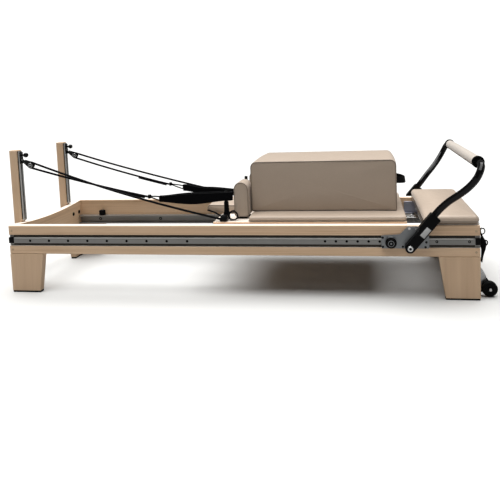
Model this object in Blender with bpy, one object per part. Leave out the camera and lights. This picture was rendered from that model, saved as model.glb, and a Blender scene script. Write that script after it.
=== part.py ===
"""Pilates reformer: a wooden bed with a rolling carriage, ropes on two risers and a folding footbar.

Metres, +Z up. X runs from the head end (risers, negative) to the foot end (footbar, positive), Y across,
with the front side at negative Y. The origin is on the floor under the middle of the machine.
"""

import math

import bmesh
import bpy
from mathutils import Matrix, Vector

# Overall sizes
FRAME_LENGTH = 2.300
FRAME_WIDTH = 0.680
FRAME_TOP = 0.345
BEAM_HEIGHT = 0.145
BEAM_THICKNESS = 0.035
HEAD_FACE = -1.176  # X of the frame's head-end face; risers stand out past it, wheels past the foot end
GAP = 0.0003  # clearance between pieces that touch

FOOT_FACE = HEAD_FACE + FRAME_LENGTH
HALF_WIDTH = FRAME_WIDTH / 2
INNER_HALF = HALF_WIDTH - BEAM_THICKNESS
BEAM_BOTTOM = FRAME_TOP - BEAM_HEIGHT
SIDES = (("front", -1), ("rear", 1))

# Legs and their rubber feet
LEG_TOP_WIDTH = 0.181
LEG_FOOT_WIDTH = 0.152
LEG_WALL = 0.032
LEG_RETURN = 0.126
FOOT_PAD_HEIGHT = 0.008

# Rails: the outer pair carries the footbar, the inner pair carries the carriage
RAIL_Z = 0.270
GROOVE_HALF = 0.0285
GROOVE_DEPTH = 0.014
RAIL_BAND_HALF = 0.0145
RAIL_END_INSET = 0.022
INDEX_PITCH = 0.050
INDEX_COUNT = 7
INDEX_RADIUS = 0.0042
INNER_RAIL_TOP = 0.253
INNER_RAIL_HEIGHT = 0.050
INNER_RAIL_DEPTH = 0.032
INNER_RAIL_WALL = 0.006

# Risers and pulleys at the head end
RISER_Y = 0.217
RISER_TOP = 0.717
RISER_WIDTH = 0.040
RISER_THICKNESS = 0.037
RISER_STEP = 0.006  # above the end board the post stands this far over it
RISER_STEP_Z = 0.3405
CHANNEL_WIDTH = 0.026
CHANNEL_DEPTH = 0.0085
CHANNEL_WALL = 0.0025
SHEAVE_FROM_HEAD = 0.070
SHEAVE_Z = 0.637
SHEAVE_RADIUS = 0.0150
SHEAVE_GROOVE = 0.0095
SHEAVE_HALF_WIDTH = 0.006
AXLE_RADIUS = 0.003
KNOB_Z = 0.690

# Ropes and hand loops
ROPE_RADIUS = 0.0045
ROPE_SAG = 0.016
CLEAT_START = 1.094
CLEAT_END = 1.131
CLEAT_Y = 0.285
CLEAT_Z = 0.364
PEG_FROM_HEAD = 1.115
LOOP_Y = 0.232
LOOP_HALF = 0.021
LOOP_BAND = 0.008
LOOP_END = 1.150
# Each hand loop: its knot, then the middle and half height of its band at its start, at its widest and at the peg
LOOPS = {
    "front": {"knot": (0.7175, 0.467), "start": (0.772, 0.456, 0.0145), "wide": (0.950, 0.4565, 0.0265),
              "peg": (1.129, 0.467, 0.0200)},
    "rear": {"knot": (0.656, 0.451), "start": (0.735, 0.429, 0.0180), "wide": (0.880, 0.4110, 0.0175),
             "peg": (1.129, 0.3935, 0.0148)},
}
LOOP_OPENS = 0.100  # from a band's start to where its two sides run apart
KNOT_RADIUS = 0.010

# Carriage, measured along the bed from the head-end face
CARRIAGE_START = 1.062
PAD_START = 1.236
CARRIAGE_END = 1.984
CARRIAGE_HALF = 0.299
BOARD_TOP = 0.352
BOARD_THICKNESS = 0.018
PAD_THICKNESS = 0.0257
ROLLER_RADIUS = 0.022
ROLLER_STATIONS = {"head": 1.190, "foot": 1.880}
ROLLER_Y = 0.2875
ROLLER_HALF = 0.0085

# Footbar
PIVOT_FROM_HEAD = 1.990
PIVOT_Z = 0.251
ARM_LEAN = math.radians(50)
ARM_Y = 0.370
TUBE_RADIUS = 0.0155
TUBE_OFFSET = 0.011  # the tube runs beside the sleeve's middle line
SLEEVE_HALF = 0.0225
SLEEVE_LENGTH = 0.183
PIVOT_RADIUS = 0.0078
PIN_FROM_HEAD = 1.907

# Springs
SPRING_ROWS = (-0.12, 0.0, 0.12)
SPRING_RADIUS = 0.010
SPRING_Z = 0.283
SPRING_ANCHOR = 1.385
SPRING_BAR_FROM_HEAD = 2.080
SPRING_BAR_RADIUS = 0.008

# Transport wheels
WHEEL_FROM_HEAD = 2.348
WHEEL_RADIUS = 0.035
WHEEL_Z = 0.038
WHEEL_Y = 0.2885
WHEEL_HALF = 0.013
WHEEL_BORE = 0.0053


def along(distance):
    """World X of a place measured along the bed from its head-end face."""
    return HEAD_FACE + distance


def material(name, color, roughness, metallic=0.0):
    made = bpy.data.materials.new(name)
    made.use_nodes = True
    shader = made.node_tree.nodes["Principled BSDF"]
    shader.inputs["Base Color"].default_value = (*color, 1.0)
    shader.inputs["Roughness"].default_value = roughness
    shader.inputs["Metallic"].default_value = metallic
    return made


def add(name, mesh, finish):
    obj = bpy.data.objects.new(name, mesh)
    bpy.context.scene.collection.objects.link(obj)
    mesh.materials.append(finish)
    return obj


def mesh_from(name, bm):
    bmesh.ops.recalc_face_normals(bm, faces=bm.faces)
    mesh = bpy.data.meshes.new(name)
    bm.to_mesh(mesh)
    bm.free()
    return mesh


def prism(name, outline, axis, start, end, finish):
    """An outline of (a, b) points extruded along axis. The points are (x, z) on 'y', (y, z) on 'x', (x, y) on 'z'."""
    place = {
        "x": lambda a, b, c: (c, a, b),
        "y": lambda a, b, c: (a, c, b),
        "z": lambda a, b, c: (a, b, c),
    }[axis]
    bm = bmesh.new()
    face = bm.faces.new([bm.verts.new(place(a, b, start)) for a, b in outline])
    grown = bmesh.ops.extrude_face_region(bm, geom=[face])
    moved = [v for v in grown["geom"] if isinstance(v, bmesh.types.BMVert)]
    bmesh.ops.translate(bm, verts=moved, vec=Vector(place(0, 0, end - start)))
    return add(name, mesh_from(name, bm), finish)


def slab(name, low, high, finish, bevel=0.0, segments=2):
    """A box between two corners, with all its edges rounded when bevel is given."""
    outline = [(low[0], low[1]), (high[0], low[1]), (high[0], high[1]), (low[0], high[1])]
    obj = prism(name, outline, "z", low[2], high[2], finish)
    if bevel:
        round_edges(obj, bevel, segments)
    return obj


def turned(name, profile, axis, centre, finish, steps=20):
    """A profile of (radius, offset) points turned about an axis through centre; it closes on itself or on the axis."""
    bm = bmesh.new()
    ends_on_axis = profile[0][0] == 0.0
    verts = [bm.verts.new((radius, 0, offset)) for radius, offset in profile]
    pairs = list(zip(verts, verts[1:])) + ([] if ends_on_axis else [(verts[-1], verts[0])])
    edges = [bm.edges.new(pair) for pair in pairs]
    bmesh.ops.spin(
        bm, geom=verts + edges, cent=(0, 0, 0), axis=(0, 0, 1), angle=math.tau, steps=steps, use_merge=True
    )
    bmesh.ops.remove_doubles(bm, verts=bm.verts, dist=1e-6)
    turn = {"x": Matrix.Rotation(math.pi / 2, 4, "Y"), "y": Matrix.Rotation(-math.pi / 2, 4, "X"), "z": Matrix()}
    bm.transform(turn[axis])
    obj = add(name, mesh_from(name, bm), finish)
    obj.data.shade_smooth()
    obj.data.set_sharp_from_angle(angle=math.radians(35))
    obj.location = centre
    return obj


def rod(name, radius, axis, centre, half_length, finish, steps=20):
    profile = [(0.0, -half_length), (radius, -half_length), (radius, half_length), (0.0, half_length)]
    return turned(name, profile, axis, centre, finish, steps)


def ring(name, inner, outer, half_width, axis, centre, finish, steps=24):
    profile = [(inner, -half_width), (outer, -half_width), (outer, half_width), (inner, half_width)]
    return turned(name, profile, axis, centre, finish, steps)


def tube(name, points, radius, finish, resolution=2):
    """A round tube with filled ends along a list of points."""
    curve = bpy.data.curves.new(name, "CURVE")
    curve.dimensions = "3D"
    curve.bevel_depth = radius
    curve.bevel_resolution = resolution
    curve.use_fill_caps = True
    spline = curve.splines.new("POLY")
    spline.points.add(len(points) - 1)
    for target, point in zip(spline.points, points):
        target.co = (*point, 1.0)
    return add(name, curve, finish)


def round_edges(obj, width, segments=2):
    bevel = obj.modifiers.new("rounded edges", "BEVEL")
    bevel.width = width
    bevel.segments = segments
    bevel.limit_method = "ANGLE"
    bevel.angle_limit = math.radians(40)


def helper(obj):
    obj.hide_render = True
    obj.display_type = "WIRE"
    return obj


def cut(obj, *tools):
    for tool in tools:
        boolean = obj.modifiers.new("cut " + tool.name, "BOOLEAN")
        boolean.operation = "DIFFERENCE"
        boolean.object = helper(tool)
    return obj


def unite(obj, *others):
    for other in others:
        boolean = obj.modifiers.new("join " + other.name, "BOOLEAN")
        boolean.operation = "UNION"
        boolean.object = helper(other)
    return obj


def turn_about(obj, point):
    """Puts the object's origin on its joint."""
    shift = Vector(point) - obj.location
    obj.data.transform(Matrix.Translation(-shift))
    obj.location = point
    return obj


def arc(centre, radius, start, end, steps):
    """Points on an arc, angles in degrees."""
    angles = [math.radians(start + (end - start) * i / steps) for i in range(steps + 1)]
    return [(centre[0] + radius * math.cos(a), centre[1] + radius * math.sin(a)) for a in angles]


def smooth_curve(points, steps):
    """Points on a Catmull-Rom curve through the given ones."""
    knots = [points[0], *points, points[-1]]
    route = []
    for i in range(1, len(knots) - 2):
        p0, p1, p2, p3 = knots[i - 1 : i + 3]
        for j in range(steps):
            t = j / steps
            route.append(
                0.5 * ((2 * p1) + (p2 - p0) * t + (2 * p0 - 5 * p1 + 4 * p2 - p3) * t**2
                       + (3 * p1 - p0 - 3 * p2 + p3) * t**3)
            )
    return route + [points[-1]]


def mirrored(sign, low, high):
    """The Y range of a piece that lies between two distances from the middle, on one side."""
    return (low, high) if sign > 0 else (-high, -low)


def side_slab(name, sign, x, y, z, finish, bevel=0.0, segments=2):
    near, far = mirrored(sign, *y)
    return slab(name, (x[0], near, z[0]), (x[1], far, z[1]), finish, bevel, segments)


def build_side_beam(side, sign):
    """A wooden beam with a groove in its outer face for the footbar rail."""
    beam = side_slab(
        f"side_beam_{side}", sign, (HEAD_FACE, FOOT_FACE), (INNER_HALF, HALF_WIDTH), (BEAM_BOTTOM, FRAME_TOP),
        WOOD, bevel=0.003, segments=1,
    )
    groove = side_slab(
        f"groove_{side}", sign, (HEAD_FACE - 0.01, FOOT_FACE + 0.01), (HALF_WIDTH - GROOVE_DEPTH, HALF_WIDTH + 0.01),
        (RAIL_Z - GROOVE_HALF, RAIL_Z + GROOVE_HALF), WOOD,
    )
    cut(beam, groove)


def build_head_end_board():
    """The board between the beams at the head end, with a shallow scoop in its top edge."""
    half = INNER_HALF - GAP
    scoop = [
        (half - 2 * half * i / 12, FRAME_TOP - 0.017 * (1 - (1 - i / 6) ** 2)) for i in range(13)
    ]
    outline = [(-half, BEAM_BOTTOM), (half, BEAM_BOTTOM), *scoop]
    prism("head_end_board", outline, "x", HEAD_FACE, HEAD_FACE + BEAM_THICKNESS, WOOD)


def build_foot_end_board():
    half = INNER_HALF - GAP
    slab(
        "foot_end_board", (FOOT_FACE - BEAM_THICKNESS, -half, BEAM_BOTTOM), (FOOT_FACE, half, FRAME_TOP),
        WOOD, bevel=0.002, segments=1,
    )


def build_leg(end, side, sign):
    """An L-shaped corner leg: a tapered wall along the beam and a return across the end, on a rubber foot."""
    face, inward = (HEAD_FACE, 1) if end == "head" else (FOOT_FACE, -1)
    low, high = FOOT_PAD_HEIGHT + GAP, BEAM_BOTTOM - GAP
    wall = [(face, low), (face + inward * LEG_FOOT_WIDTH, low), (face + inward * LEG_TOP_WIDTH, high), (face, high)]
    near, far = mirrored(sign, HALF_WIDTH - LEG_WALL, HALF_WIDTH)
    leg = prism(f"leg_{end}_{side}", wall, "y", near, far, WOOD)
    outer, inner = sign * (HALF_WIDTH - 0.004), sign * (HALF_WIDTH - LEG_RETURN)
    top_inner = sign * (HALF_WIDTH - LEG_RETURN - 0.02)
    crosswise = [(outer, low), (inner, low), (top_inner, high), (outer, high)]
    start, end_x = sorted((face, face + inward * LEG_WALL))
    unite(leg, prism(f"leg_return_{end}_{side}", crosswise, "x", start, end_x, WOOD))

    inset = 0.002
    outer, inner = sign * (HALF_WIDTH - inset), sign * (HALF_WIDTH - LEG_RETURN)
    wall_inner = sign * (HALF_WIDTH - LEG_WALL)
    tip, heel = face + inward * LEG_FOOT_WIDTH, face + inward * inset
    corner = face + inward * LEG_WALL
    plan = [(heel, outer), (tip, outer), (tip, wall_inner), (corner, wall_inner), (corner, inner), (heel, inner)]
    prism(f"foot_pad_{end}_{side}", plan, "z", 0.0, FOOT_PAD_HEIGHT, RUBBER)


def build_outer_rail(side, sign):
    """An extruded rail with a proud middle band between two slots, bored with index holes for the footbar."""
    base = HALF_WIDTH - GROOVE_DEPTH + GAP
    flange, crown = base + 0.005, HALF_WIDTH + 0.0005
    tall, band = GROOVE_HALF - GAP, RAIL_BAND_HALF
    section = [
        (base, -tall), (flange, -tall), (flange, -band), (crown, -band),
        (crown, band), (flange, band), (flange, tall), (base, tall),
    ]
    outline = [(sign * y, RAIL_Z + z) for y, z in section]
    rail = prism(
        f"outer_rail_{side}", outline, "x", HEAD_FACE + RAIL_END_INSET, FOOT_FACE - RAIL_END_INSET, ALUMINIUM
    )
    for i in range(INDEX_COUNT):
        hole = rod(
            f"index_hole_{side}_{i}", INDEX_RADIUS, "y",
            (along(PIN_FROM_HEAD - i * INDEX_PITCH), sign * HALF_WIDTH, RAIL_Z), 0.03, ALUMINIUM, steps=10,
        )
        cut(rail, hole)


def build_inner_rail(side, sign):
    """A C-channel on the beam's inner face; the carriage rollers run on its top flange."""
    outer, inner = INNER_HALF - GAP, INNER_HALF - INNER_RAIL_DEPTH
    wall, low = INNER_RAIL_WALL, INNER_RAIL_TOP - INNER_RAIL_HEIGHT
    section = [
        (outer, low), (outer, INNER_RAIL_TOP), (inner, INNER_RAIL_TOP), (inner, INNER_RAIL_TOP - wall),
        (outer - wall, INNER_RAIL_TOP - wall), (outer - wall, low + wall), (inner, low + wall), (inner, low),
    ]
    start, end = HEAD_FACE + BEAM_THICKNESS + 0.002, FOOT_FACE - BEAM_THICKNESS - 0.002
    prism(f"inner_rail_{side}", [(sign * y, z) for y, z in section], "x", start, end, ALUMINIUM)


def build_riser(side, sign):
    """A post outside the head end, its channel and the spring knob that locks the pulley's height."""
    centre = sign * RISER_Y
    half = RISER_WIDTH / 2
    face = HEAD_FACE - GAP
    outer, step = face - RISER_THICKNESS, HEAD_FACE + RISER_STEP
    outline = [
        (outer, BEAM_BOTTOM), (face, BEAM_BOTTOM), (face, RISER_STEP_Z), (step, RISER_STEP_Z), (step, RISER_TOP),
        (outer, RISER_TOP),
    ]
    post = prism(f"riser_post_{side}", outline, "y", centre - half, centre + half, WOOD)
    round_edges(post, 0.002, 1)

    half, slot, wall = CHANNEL_WIDTH / 2, 0.006, CHANNEL_WALL
    back = step + GAP
    mouth = back + CHANNEL_DEPTH
    section = [
        (back, -half), (mouth, -half), (mouth, -slot), (back + wall, -slot),
        (back + wall, slot), (mouth, slot), (mouth, half), (back, half),
    ]
    outline = [(x, centre + y) for x, y in section]
    prism(f"riser_channel_{side}", outline, "z", FRAME_TOP + 0.001, RISER_TOP - 0.006, ALUMINIUM)

    front = mouth + GAP
    stem_start = front - 0.004
    ball = along(0.044)
    radius, stem = 0.0110, 0.0048
    profile = [(0.0, stem_start - ball), (stem, stem_start - ball), (stem, -radius * 0.93)]
    profile += [(radius * math.sin(a), -radius * math.cos(a)) for a in (math.radians(x) for x in range(40, 180, 20))]
    profile.append((0.0, radius))
    turned(f"riser_knob_{side}", profile, "x", (ball, centre, KNOB_Z), BLACK_PLASTIC, steps=14)


def build_slider(side, sign):
    """The carrier that slides in the riser's channel, with a lug for the pulley and a bore for the knob."""
    centre, back = sign * RISER_Y, HEAD_FACE + RISER_STEP + CHANNEL_WALL + 2 * GAP
    front = HEAD_FACE + RISER_STEP + CHANNEL_DEPTH + 2 * GAP
    body = slab(
        f"riser_slider_{side}", (front, centre - 0.012, 0.646), (front + 0.005, centre + 0.012, 0.706),
        BLACK_METAL, bevel=0.001, segments=1,
    )
    key = slab(
        f"slider_key_{side}", (back, centre - 0.0055, 0.650), (front + 0.001, centre + 0.0055, 0.682), BLACK_METAL
    )
    lug = slab(
        f"slider_lug_{side}", (front + 0.004, centre - 0.003, 0.650), (along(0.036), centre + 0.003, 0.664),
        BLACK_METAL,
    )
    bore = rod(f"slider_bore_{side}", 0.0051, "x", (front, centre, KNOB_Z), 0.03, BLACK_METAL, steps=12)
    return cut(unite(body, key, lug), bore)


def build_pulley(side, sign):
    """A small block on the riser's slider, with a grooved sheave turning on its pin."""
    centre = Vector((along(SHEAVE_FROM_HEAD), sign * RISER_Y, SHEAVE_Z))
    eye = Vector((along(0.0350), sign * RISER_Y, 0.6570))
    lean = math.degrees(math.atan2(eye.z - centre.z, eye.x - centre.x))
    outline = arc((centre.x, centre.z), 0.0165, lean - 180 - 90, lean - 180 + 90, 8)
    outline += arc((eye.x, eye.z), 0.0075, lean - 90, lean + 90, 6)
    cheek, inside = SHEAVE_HALF_WIDTH + 0.0028, SHEAVE_HALF_WIDTH + 0.0008
    block = prism(f"pulley_block_{side}", outline, "y", centre.y - cheek, centre.y + cheek, BLACK_METAL)
    slot = slab(
        f"block_slot_{side}", (-0.020, -inside, -0.03), (0.03, inside, 0.03), BLACK_METAL,
    )
    slot.location = centre
    slot.rotation_euler = (0, -math.radians(lean - 180), 0)
    pin = rod(f"block_pin_{side}", AXLE_RADIUS, "y", centre, cheek - 0.001, BLACK_METAL, steps=12)
    unite(cut(block, slot), pin, build_slider(side, sign))

    w, groove = SHEAVE_HALF_WIDTH, SHEAVE_GROOVE
    profile = [
        (AXLE_RADIUS + GAP, -w), (SHEAVE_RADIUS, -w), (SHEAVE_RADIUS, -w + 0.001), (groove, -0.0032),
        (groove, 0.0032), (SHEAVE_RADIUS, w - 0.001), (SHEAVE_RADIUS, w), (AXLE_RADIUS + GAP, w),
    ]
    turned(f"pulley_sheave_{side}", profile, "y", centre, BLACK_PLASTIC, steps=20)


def sagging(start, end, sag, steps):
    """Points on a run of rope that dips by sag in its middle, both ends included."""
    return [
        start.lerp(end, i / steps) - Vector((0, 0, 4 * sag * (i / steps) * (1 - i / steps))) for i in range(steps + 1)
    ]


def build_rope(side, sign):
    """One rope: from the carriage's cleat over the sheave and back to the hand loop's knot."""
    wrap = SHEAVE_GROOVE + ROPE_RADIUS + GAP
    centre = Vector((along(SHEAVE_FROM_HEAD), sign * RISER_Y, SHEAVE_Z))
    loop = LOOPS[side]
    cleat = Vector((along(CLEAT_START - 0.0015), sign * CLEAT_Y, CLEAT_Z))
    knot = Vector((along(loop["knot"][0]) - KNOT_RADIUS - 0.0013, sign * LOOP_Y, loop["knot"][1]))
    top_lean, low_lean = math.radians(73), math.radians(-104)
    turns = 8
    around = [
        centre + wrap * Vector((math.cos(a), 0, math.sin(a)))
        for a in (top_lean + (math.tau + low_lean - top_lean) * i / turns for i in range(turns + 1))
    ]
    points = sagging(cleat, around[0], ROPE_SAG, 26)[:-1] + around
    points += sagging(around[-1], knot, 0.006, 16)[1:]
    tube(f"rope_{side}", points, ROPE_RADIUS, ROPE_BLACK)


def tilt_band(obj, loop):
    """Moves a flat band's edges to the heights that its loop gives along its length."""
    places = [loop["start"], loop["wide"], loop["peg"]]
    for vertex in obj.data.vertices:
        distance = vertex.co.x - HEAD_FACE
        first, last = (places[0], places[1]) if distance < places[1][0] else (places[1], places[2])
        t = min(1.0, (distance - first[0]) / (last[0] - first[0]))
        middle, half = (first[i] + (last[i] - first[i]) * t for i in (1, 2))
        vertex.co.z = middle + half * vertex.co.z


def build_loop_handle(side, sign):
    """A hand loop: a knot, two cords in a V and a padded band that hangs round the carriage's peg."""
    loop = LOOPS[side]
    centre = sign * LOOP_Y
    turn = along(LOOP_END) - LOOP_HALF
    start, wide = along(loop["start"][0]), along(loop["wide"][0])
    opened = start + LOOP_OPENS
    tip = LOOP_BAND - 0.001
    outer = arc((turn, centre), LOOP_HALF, -90, 90, 10)
    inner = arc((turn, centre), LOOP_HALF - LOOP_BAND, 90, -90, 8)
    outline = [(start, centre - tip), (opened, centre - LOOP_HALF), (wide, centre - LOOP_HALF), *outer]
    outline += [(wide, centre + LOOP_HALF), (opened, centre + LOOP_HALF), (start, centre + tip)]
    window = [(start + 0.060, centre), (opened, centre - LOOP_HALF + LOOP_BAND)]
    window += reversed(inner)
    window.append((opened, centre + LOOP_HALF - LOOP_BAND))
    band = prism(f"loop_handle_{side}", outline, "z", -1.0, 1.0, NEOPRENE)
    tilt_band(band, loop)
    band.modifiers.new("flat faces", "TRIANGULATE")
    hollow = prism(f"loop_window_{side}", window, "z", 0.30, 0.60, NEOPRENE)

    knot, knot_z = along(loop["knot"][0]), loop["knot"][1]
    cord, spread, reach, end_z = 0.0030, 0.009, start + 0.010, loop["start"][1]
    vee = [
        (knot, knot_z - cord), (reach, end_z - spread - cord), (reach, end_z - spread + cord),
        (knot + 0.014, knot_z + (end_z - knot_z) * 0.22), (reach, end_z + spread - cord),
        (reach, end_z + spread + cord), (knot, knot_z + cord),
    ]
    cords = prism(f"loop_cords_{side}", vee, "y", centre - cord, centre + cord, NEOPRENE)
    turns = [math.radians(a) for a in range(30, 180, 30)]
    ball = [(0.0, -KNOT_RADIUS), *((KNOT_RADIUS * math.sin(a), -KNOT_RADIUS * math.cos(a)) for a in turns)]
    ball.append((0.0, KNOT_RADIUS))
    round_knot = turned(f"loop_knot_{side}", ball, "x", (knot, centre, knot_z), NEOPRENE, steps=12)
    unite(cut(band, hollow), cords, round_knot)


def build_foot_platform():
    half = HALF_WIDTH
    slab(
        "foot_platform_pad", (along(2.056), -half, FRAME_TOP + GAP), (FOOT_FACE, half, 0.388),
        LEATHER, bevel=0.012, segments=2,
    )


def build_spring_bar():
    """The bar that the springs hook on, with a bracket plate on each beam."""
    x = along(SPRING_BAR_FROM_HEAD)
    plate = INNER_HALF - GAP
    bar = rod("spring_bar", SPRING_BAR_RADIUS, "y", (x, 0, SPRING_Z), plate - 0.002, STEEL, steps=16)
    plates = [
        side_slab(
            f"spring_bracket_{side}", sign, (along(2.012), along(2.094)), (plate - 0.006, plate),
            (0.260, 0.322), STEEL,
        )
        for side, sign in SIDES
    ]
    unite(bar, *plates)


def build_springs():
    start, end = along(SPRING_ANCHOR), along(SPRING_BAR_FROM_HEAD) - SPRING_BAR_RADIUS - GAP
    for number, y in enumerate(SPRING_ROWS, 1):
        rod(f"spring_{number}", SPRING_RADIUS, "x", ((start + end) / 2, y, SPRING_Z), (end - start) / 2, STEEL, 12)


def build_transport_wheel(side, sign):
    """A plain wheel on a stub axle that stands out of a bracket on the foot end."""
    x = along(WHEEL_FROM_HEAD)
    plate_face = FOOT_FACE + GAP
    inner = WHEEL_Y - WHEEL_HALF - 0.003
    side_range = mirrored(sign, inner - 0.004, inner)
    outline = [
        (plate_face, 0.150), (plate_face, 0.030), (x - 0.006, 0.022), *arc((x, WHEEL_Z), 0.014, -60, 60, 4),
        (x - 0.010, 0.075),
    ]
    arm = prism(f"wheel_bracket_{side}", outline, "y", *side_range, STEEL)
    flange = side_slab(
        f"wheel_flange_{side}", sign, (plate_face, plate_face + 0.004), (inner - 0.004, inner + 0.030),
        (0.086, 0.150), STEEL,
    )
    reach = (WHEEL_HALF * 2 + 0.009) / 2
    axle = rod(
        f"wheel_axle_{side}", WHEEL_BORE - GAP, "y", (x, sign * (inner - 0.002 + reach), WHEEL_Z), reach, STEEL, 14
    )
    unite(arm, flange, axle)

    w, r = WHEEL_HALF, WHEEL_RADIUS
    profile = [
        (WHEEL_BORE, -w), (r - 0.004, -w), (r, -w + 0.004), (r, w - 0.004), (r - 0.004, w), (WHEEL_BORE, w),
    ]
    turned(f"transport_wheel_{side}", profile, "y", (x, sign * WHEEL_Y, WHEEL_Z), RUBBER, steps=28)


def build_carriage_frame():
    """Two side plates and two cross members under the board, with the rollers' stub axles."""
    top = BOARD_TOP - BOARD_THICKNESS - GAP
    first, last = (along(ROLLER_STATIONS[end]) for end in ("head", "foot"))
    plates = [
        side_slab(
            f"carriage_plate_{side}", sign, (first - 0.03, last + 0.03), (0.2635, 0.2675), (0.2635, top), STEEL
        )
        for side, sign in SIDES
    ]
    beams = [
        slab(f"carriage_cross_{i}", (x - 0.020, -0.266, 0.300), (x + 0.020, 0.266, top), STEEL)
        for i, x in enumerate((along(1.360), last))
    ]
    hooks = slab("carriage_hook_bar", (along(1.372), -0.150, 0.274), (along(1.380), 0.150, 0.304), STEEL)
    centre = INNER_RAIL_TOP + ROLLER_RADIUS + GAP
    axles = [
        rod(f"carriage_axle_{side}_{end}", 0.005, "y", (along(x), sign * 0.2815, centre), 0.0165, STEEL, 12)
        for side, sign in SIDES
        for end, x in ROLLER_STATIONS.items()
    ]
    frame = beams[0]
    frame.name = "carriage_frame"
    unite(frame, beams[1], *plates, hooks, *axles)


def build_roller(end, side, sign):
    centre = (along(ROLLER_STATIONS[end]), sign * ROLLER_Y, INNER_RAIL_TOP + ROLLER_RADIUS + GAP)
    bore, w, r = 0.0053, ROLLER_HALF, ROLLER_RADIUS
    profile = [(bore, -w), (r - 0.002, -w), (r, -w + 0.002), (r, w - 0.002), (r - 0.002, w), (bore, w)]
    turned(f"carriage_roller_{end}_{side}", profile, "y", centre, BLACK_PLASTIC, steps=24)


def build_carriage():
    slab(
        "carriage_board", (along(CARRIAGE_START), -CARRIAGE_HALF, BOARD_TOP - BOARD_THICKNESS),
        (along(CARRIAGE_END), CARRIAGE_HALF, BOARD_TOP), WOOD, bevel=0.002, segments=1,
    )
    low = BOARD_TOP + GAP
    slab(
        "carriage_pad", (along(PAD_START), -CARRIAGE_HALF, low),
        (along(CARRIAGE_END), CARRIAGE_HALF, low + PAD_THICKNESS), LEATHER, bevel=0.006, segments=2,
    )


def build_shoulder_rest(side, sign):
    """An upright pad with a round top, on a short post."""
    left, right, low, high = along(1.155), along(1.228), 0.362, 0.535
    radius, foot = (right - left) / 2, 0.014
    middle = (left + right) / 2
    outline = arc((left + foot, low + foot), foot, 180, 270, 4)
    outline += arc((right - foot, low + foot), foot, 270, 360, 4)
    outline += arc((middle, high - radius), radius, 0, 180, 12)
    pad = prism(f"shoulder_rest_{side}", outline, "y", *mirrored(sign, 0.130, 0.240), LEATHER)
    post = side_slab(
        f"shoulder_post_{side}", sign, (middle - 0.015, middle + 0.015), (0.150, 0.220),
        (BOARD_TOP + GAP, low + 0.004), STEEL,
    )
    unite(pad, post)


def build_rope_peg(side, sign):
    """The cleat that holds the rope's end, with the peg that the hand loop hangs on."""
    base = side_slab(
        f"rope_peg_{side}", sign, (along(CLEAT_START), along(CLEAT_END)), (LOOP_Y - 0.013, 0.300),
        (BOARD_TOP + GAP, 0.3740), BLACK_PLASTIC, bevel=0.007, segments=2,
    )
    profile = [(0.0, 0.366), (0.0120, 0.366), (0.0120, 0.3745), (0.0092, 0.388), (0.0092, 0.489), (0.0070, 0.492)]
    profile.append((0.0, 0.492))
    post = turned(f"peg_post_{side}", profile, "z", (along(PEG_FROM_HEAD), sign * LOOP_Y, 0), BLACK_PLASTIC, steps=16)
    unite(base, post)


def build_headrest():
    """A wedge cushion with a blunt nose, hinged at its shoulder end."""
    right, low = along(1.195), 0.3555
    outline = [
        (along(0.997), low), (right, low), (right, 0.3965), (along(1.003), 0.4005),
        *arc((along(0.9945), 0.3850), 0.0150, 95, 205, 5),
    ]
    pad = prism("headrest", outline, "y", -0.122, 0.122, LEATHER)
    turn_about(pad, (along(1.205), 0, 0.356))


def build_sitting_box():
    """A padded box that stands on the carriage, with round upper corners."""
    left, right = along(1.232), along(1.948)
    low = BOARD_TOP + PAD_THICKNESS + 2 * GAP
    high, radius = 0.627, 0.029
    outline = [
        (left, low), (right, low),
        *arc((right - radius, high - radius), radius, 0, 90, 6),
        *arc((left + radius, high - radius), radius, 90, 180, 6),
    ]
    box = prism("sitting_box", outline, "y", -0.187, 0.219, LEATHER)
    round_edges(box, 0.004, 1)


def build_footbar_plate(side, sign):
    """The side plate that slides on the outer rail, with its guide shoes, pin housing and pivot bolt."""
    inner, outer = HALF_WIDTH + 0.0045, HALF_WIDTH + 0.0105
    outline = [
        (1.865, 0.241), (2.074, 0.241), (2.077, 0.245), (2.076, 0.297), (2.040, 0.341),
        (1.983, 0.341), (1.948, 0.306), (1.865, 0.300),
    ]
    plate = prism(
        f"footbar_plate_{side}", [(along(d), z) for d, z in outline], "y", *mirrored(sign, inner, outer), STEEL
    )
    shoe_inner = HALF_WIDTH - GROOVE_DEPTH + GAP + 0.0062
    for i, z in enumerate((RAIL_Z + 0.0215, RAIL_Z - 0.0215)):
        shoe = side_slab(
            f"footbar_shoe_{side}_{i}", sign, (along(1.875), along(2.065)), (shoe_inner, inner + 0.002),
            (z - 0.005, z + 0.005), STEEL,
        )
        unite(plate, shoe)
    pin_x = along(PIN_FROM_HEAD)
    housing = [(-0.0155, -0.012), (0.0155, -0.012), (0.0155, 0.010), (0.010, 0.026), (-0.010, 0.026), (-0.0155, 0.010)]
    unite(plate, prism(
        f"pin_housing_{side}", [(pin_x + x, RAIL_Z + z) for x, z in housing], "y",
        *mirrored(sign, outer - 0.001, outer + 0.010), STEEL,
    ))
    cut(plate, rod(
        f"pin_bore_{side}", 0.0042, "y", (pin_x, sign * outer, RAIL_Z), 0.03, STEEL, steps=12
    ))
    head = ARM_Y + 0.0195
    bolt_middle = (outer - 0.001 + head + 0.004) / 2
    bolt = rod(
        f"pivot_bolt_{side}", PIVOT_RADIUS, "y", (along(PIVOT_FROM_HEAD), sign * bolt_middle, PIVOT_Z),
        head + 0.004 - bolt_middle, STEEL, steps=16,
    )
    washer = rod(
        f"pivot_washer_{side}", 0.0128, "y", (along(PIVOT_FROM_HEAD), sign * (head + 0.002), PIVOT_Z), 0.0015,
        STEEL, steps=18,
    )
    unite(plate, bolt, washer)


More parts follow.
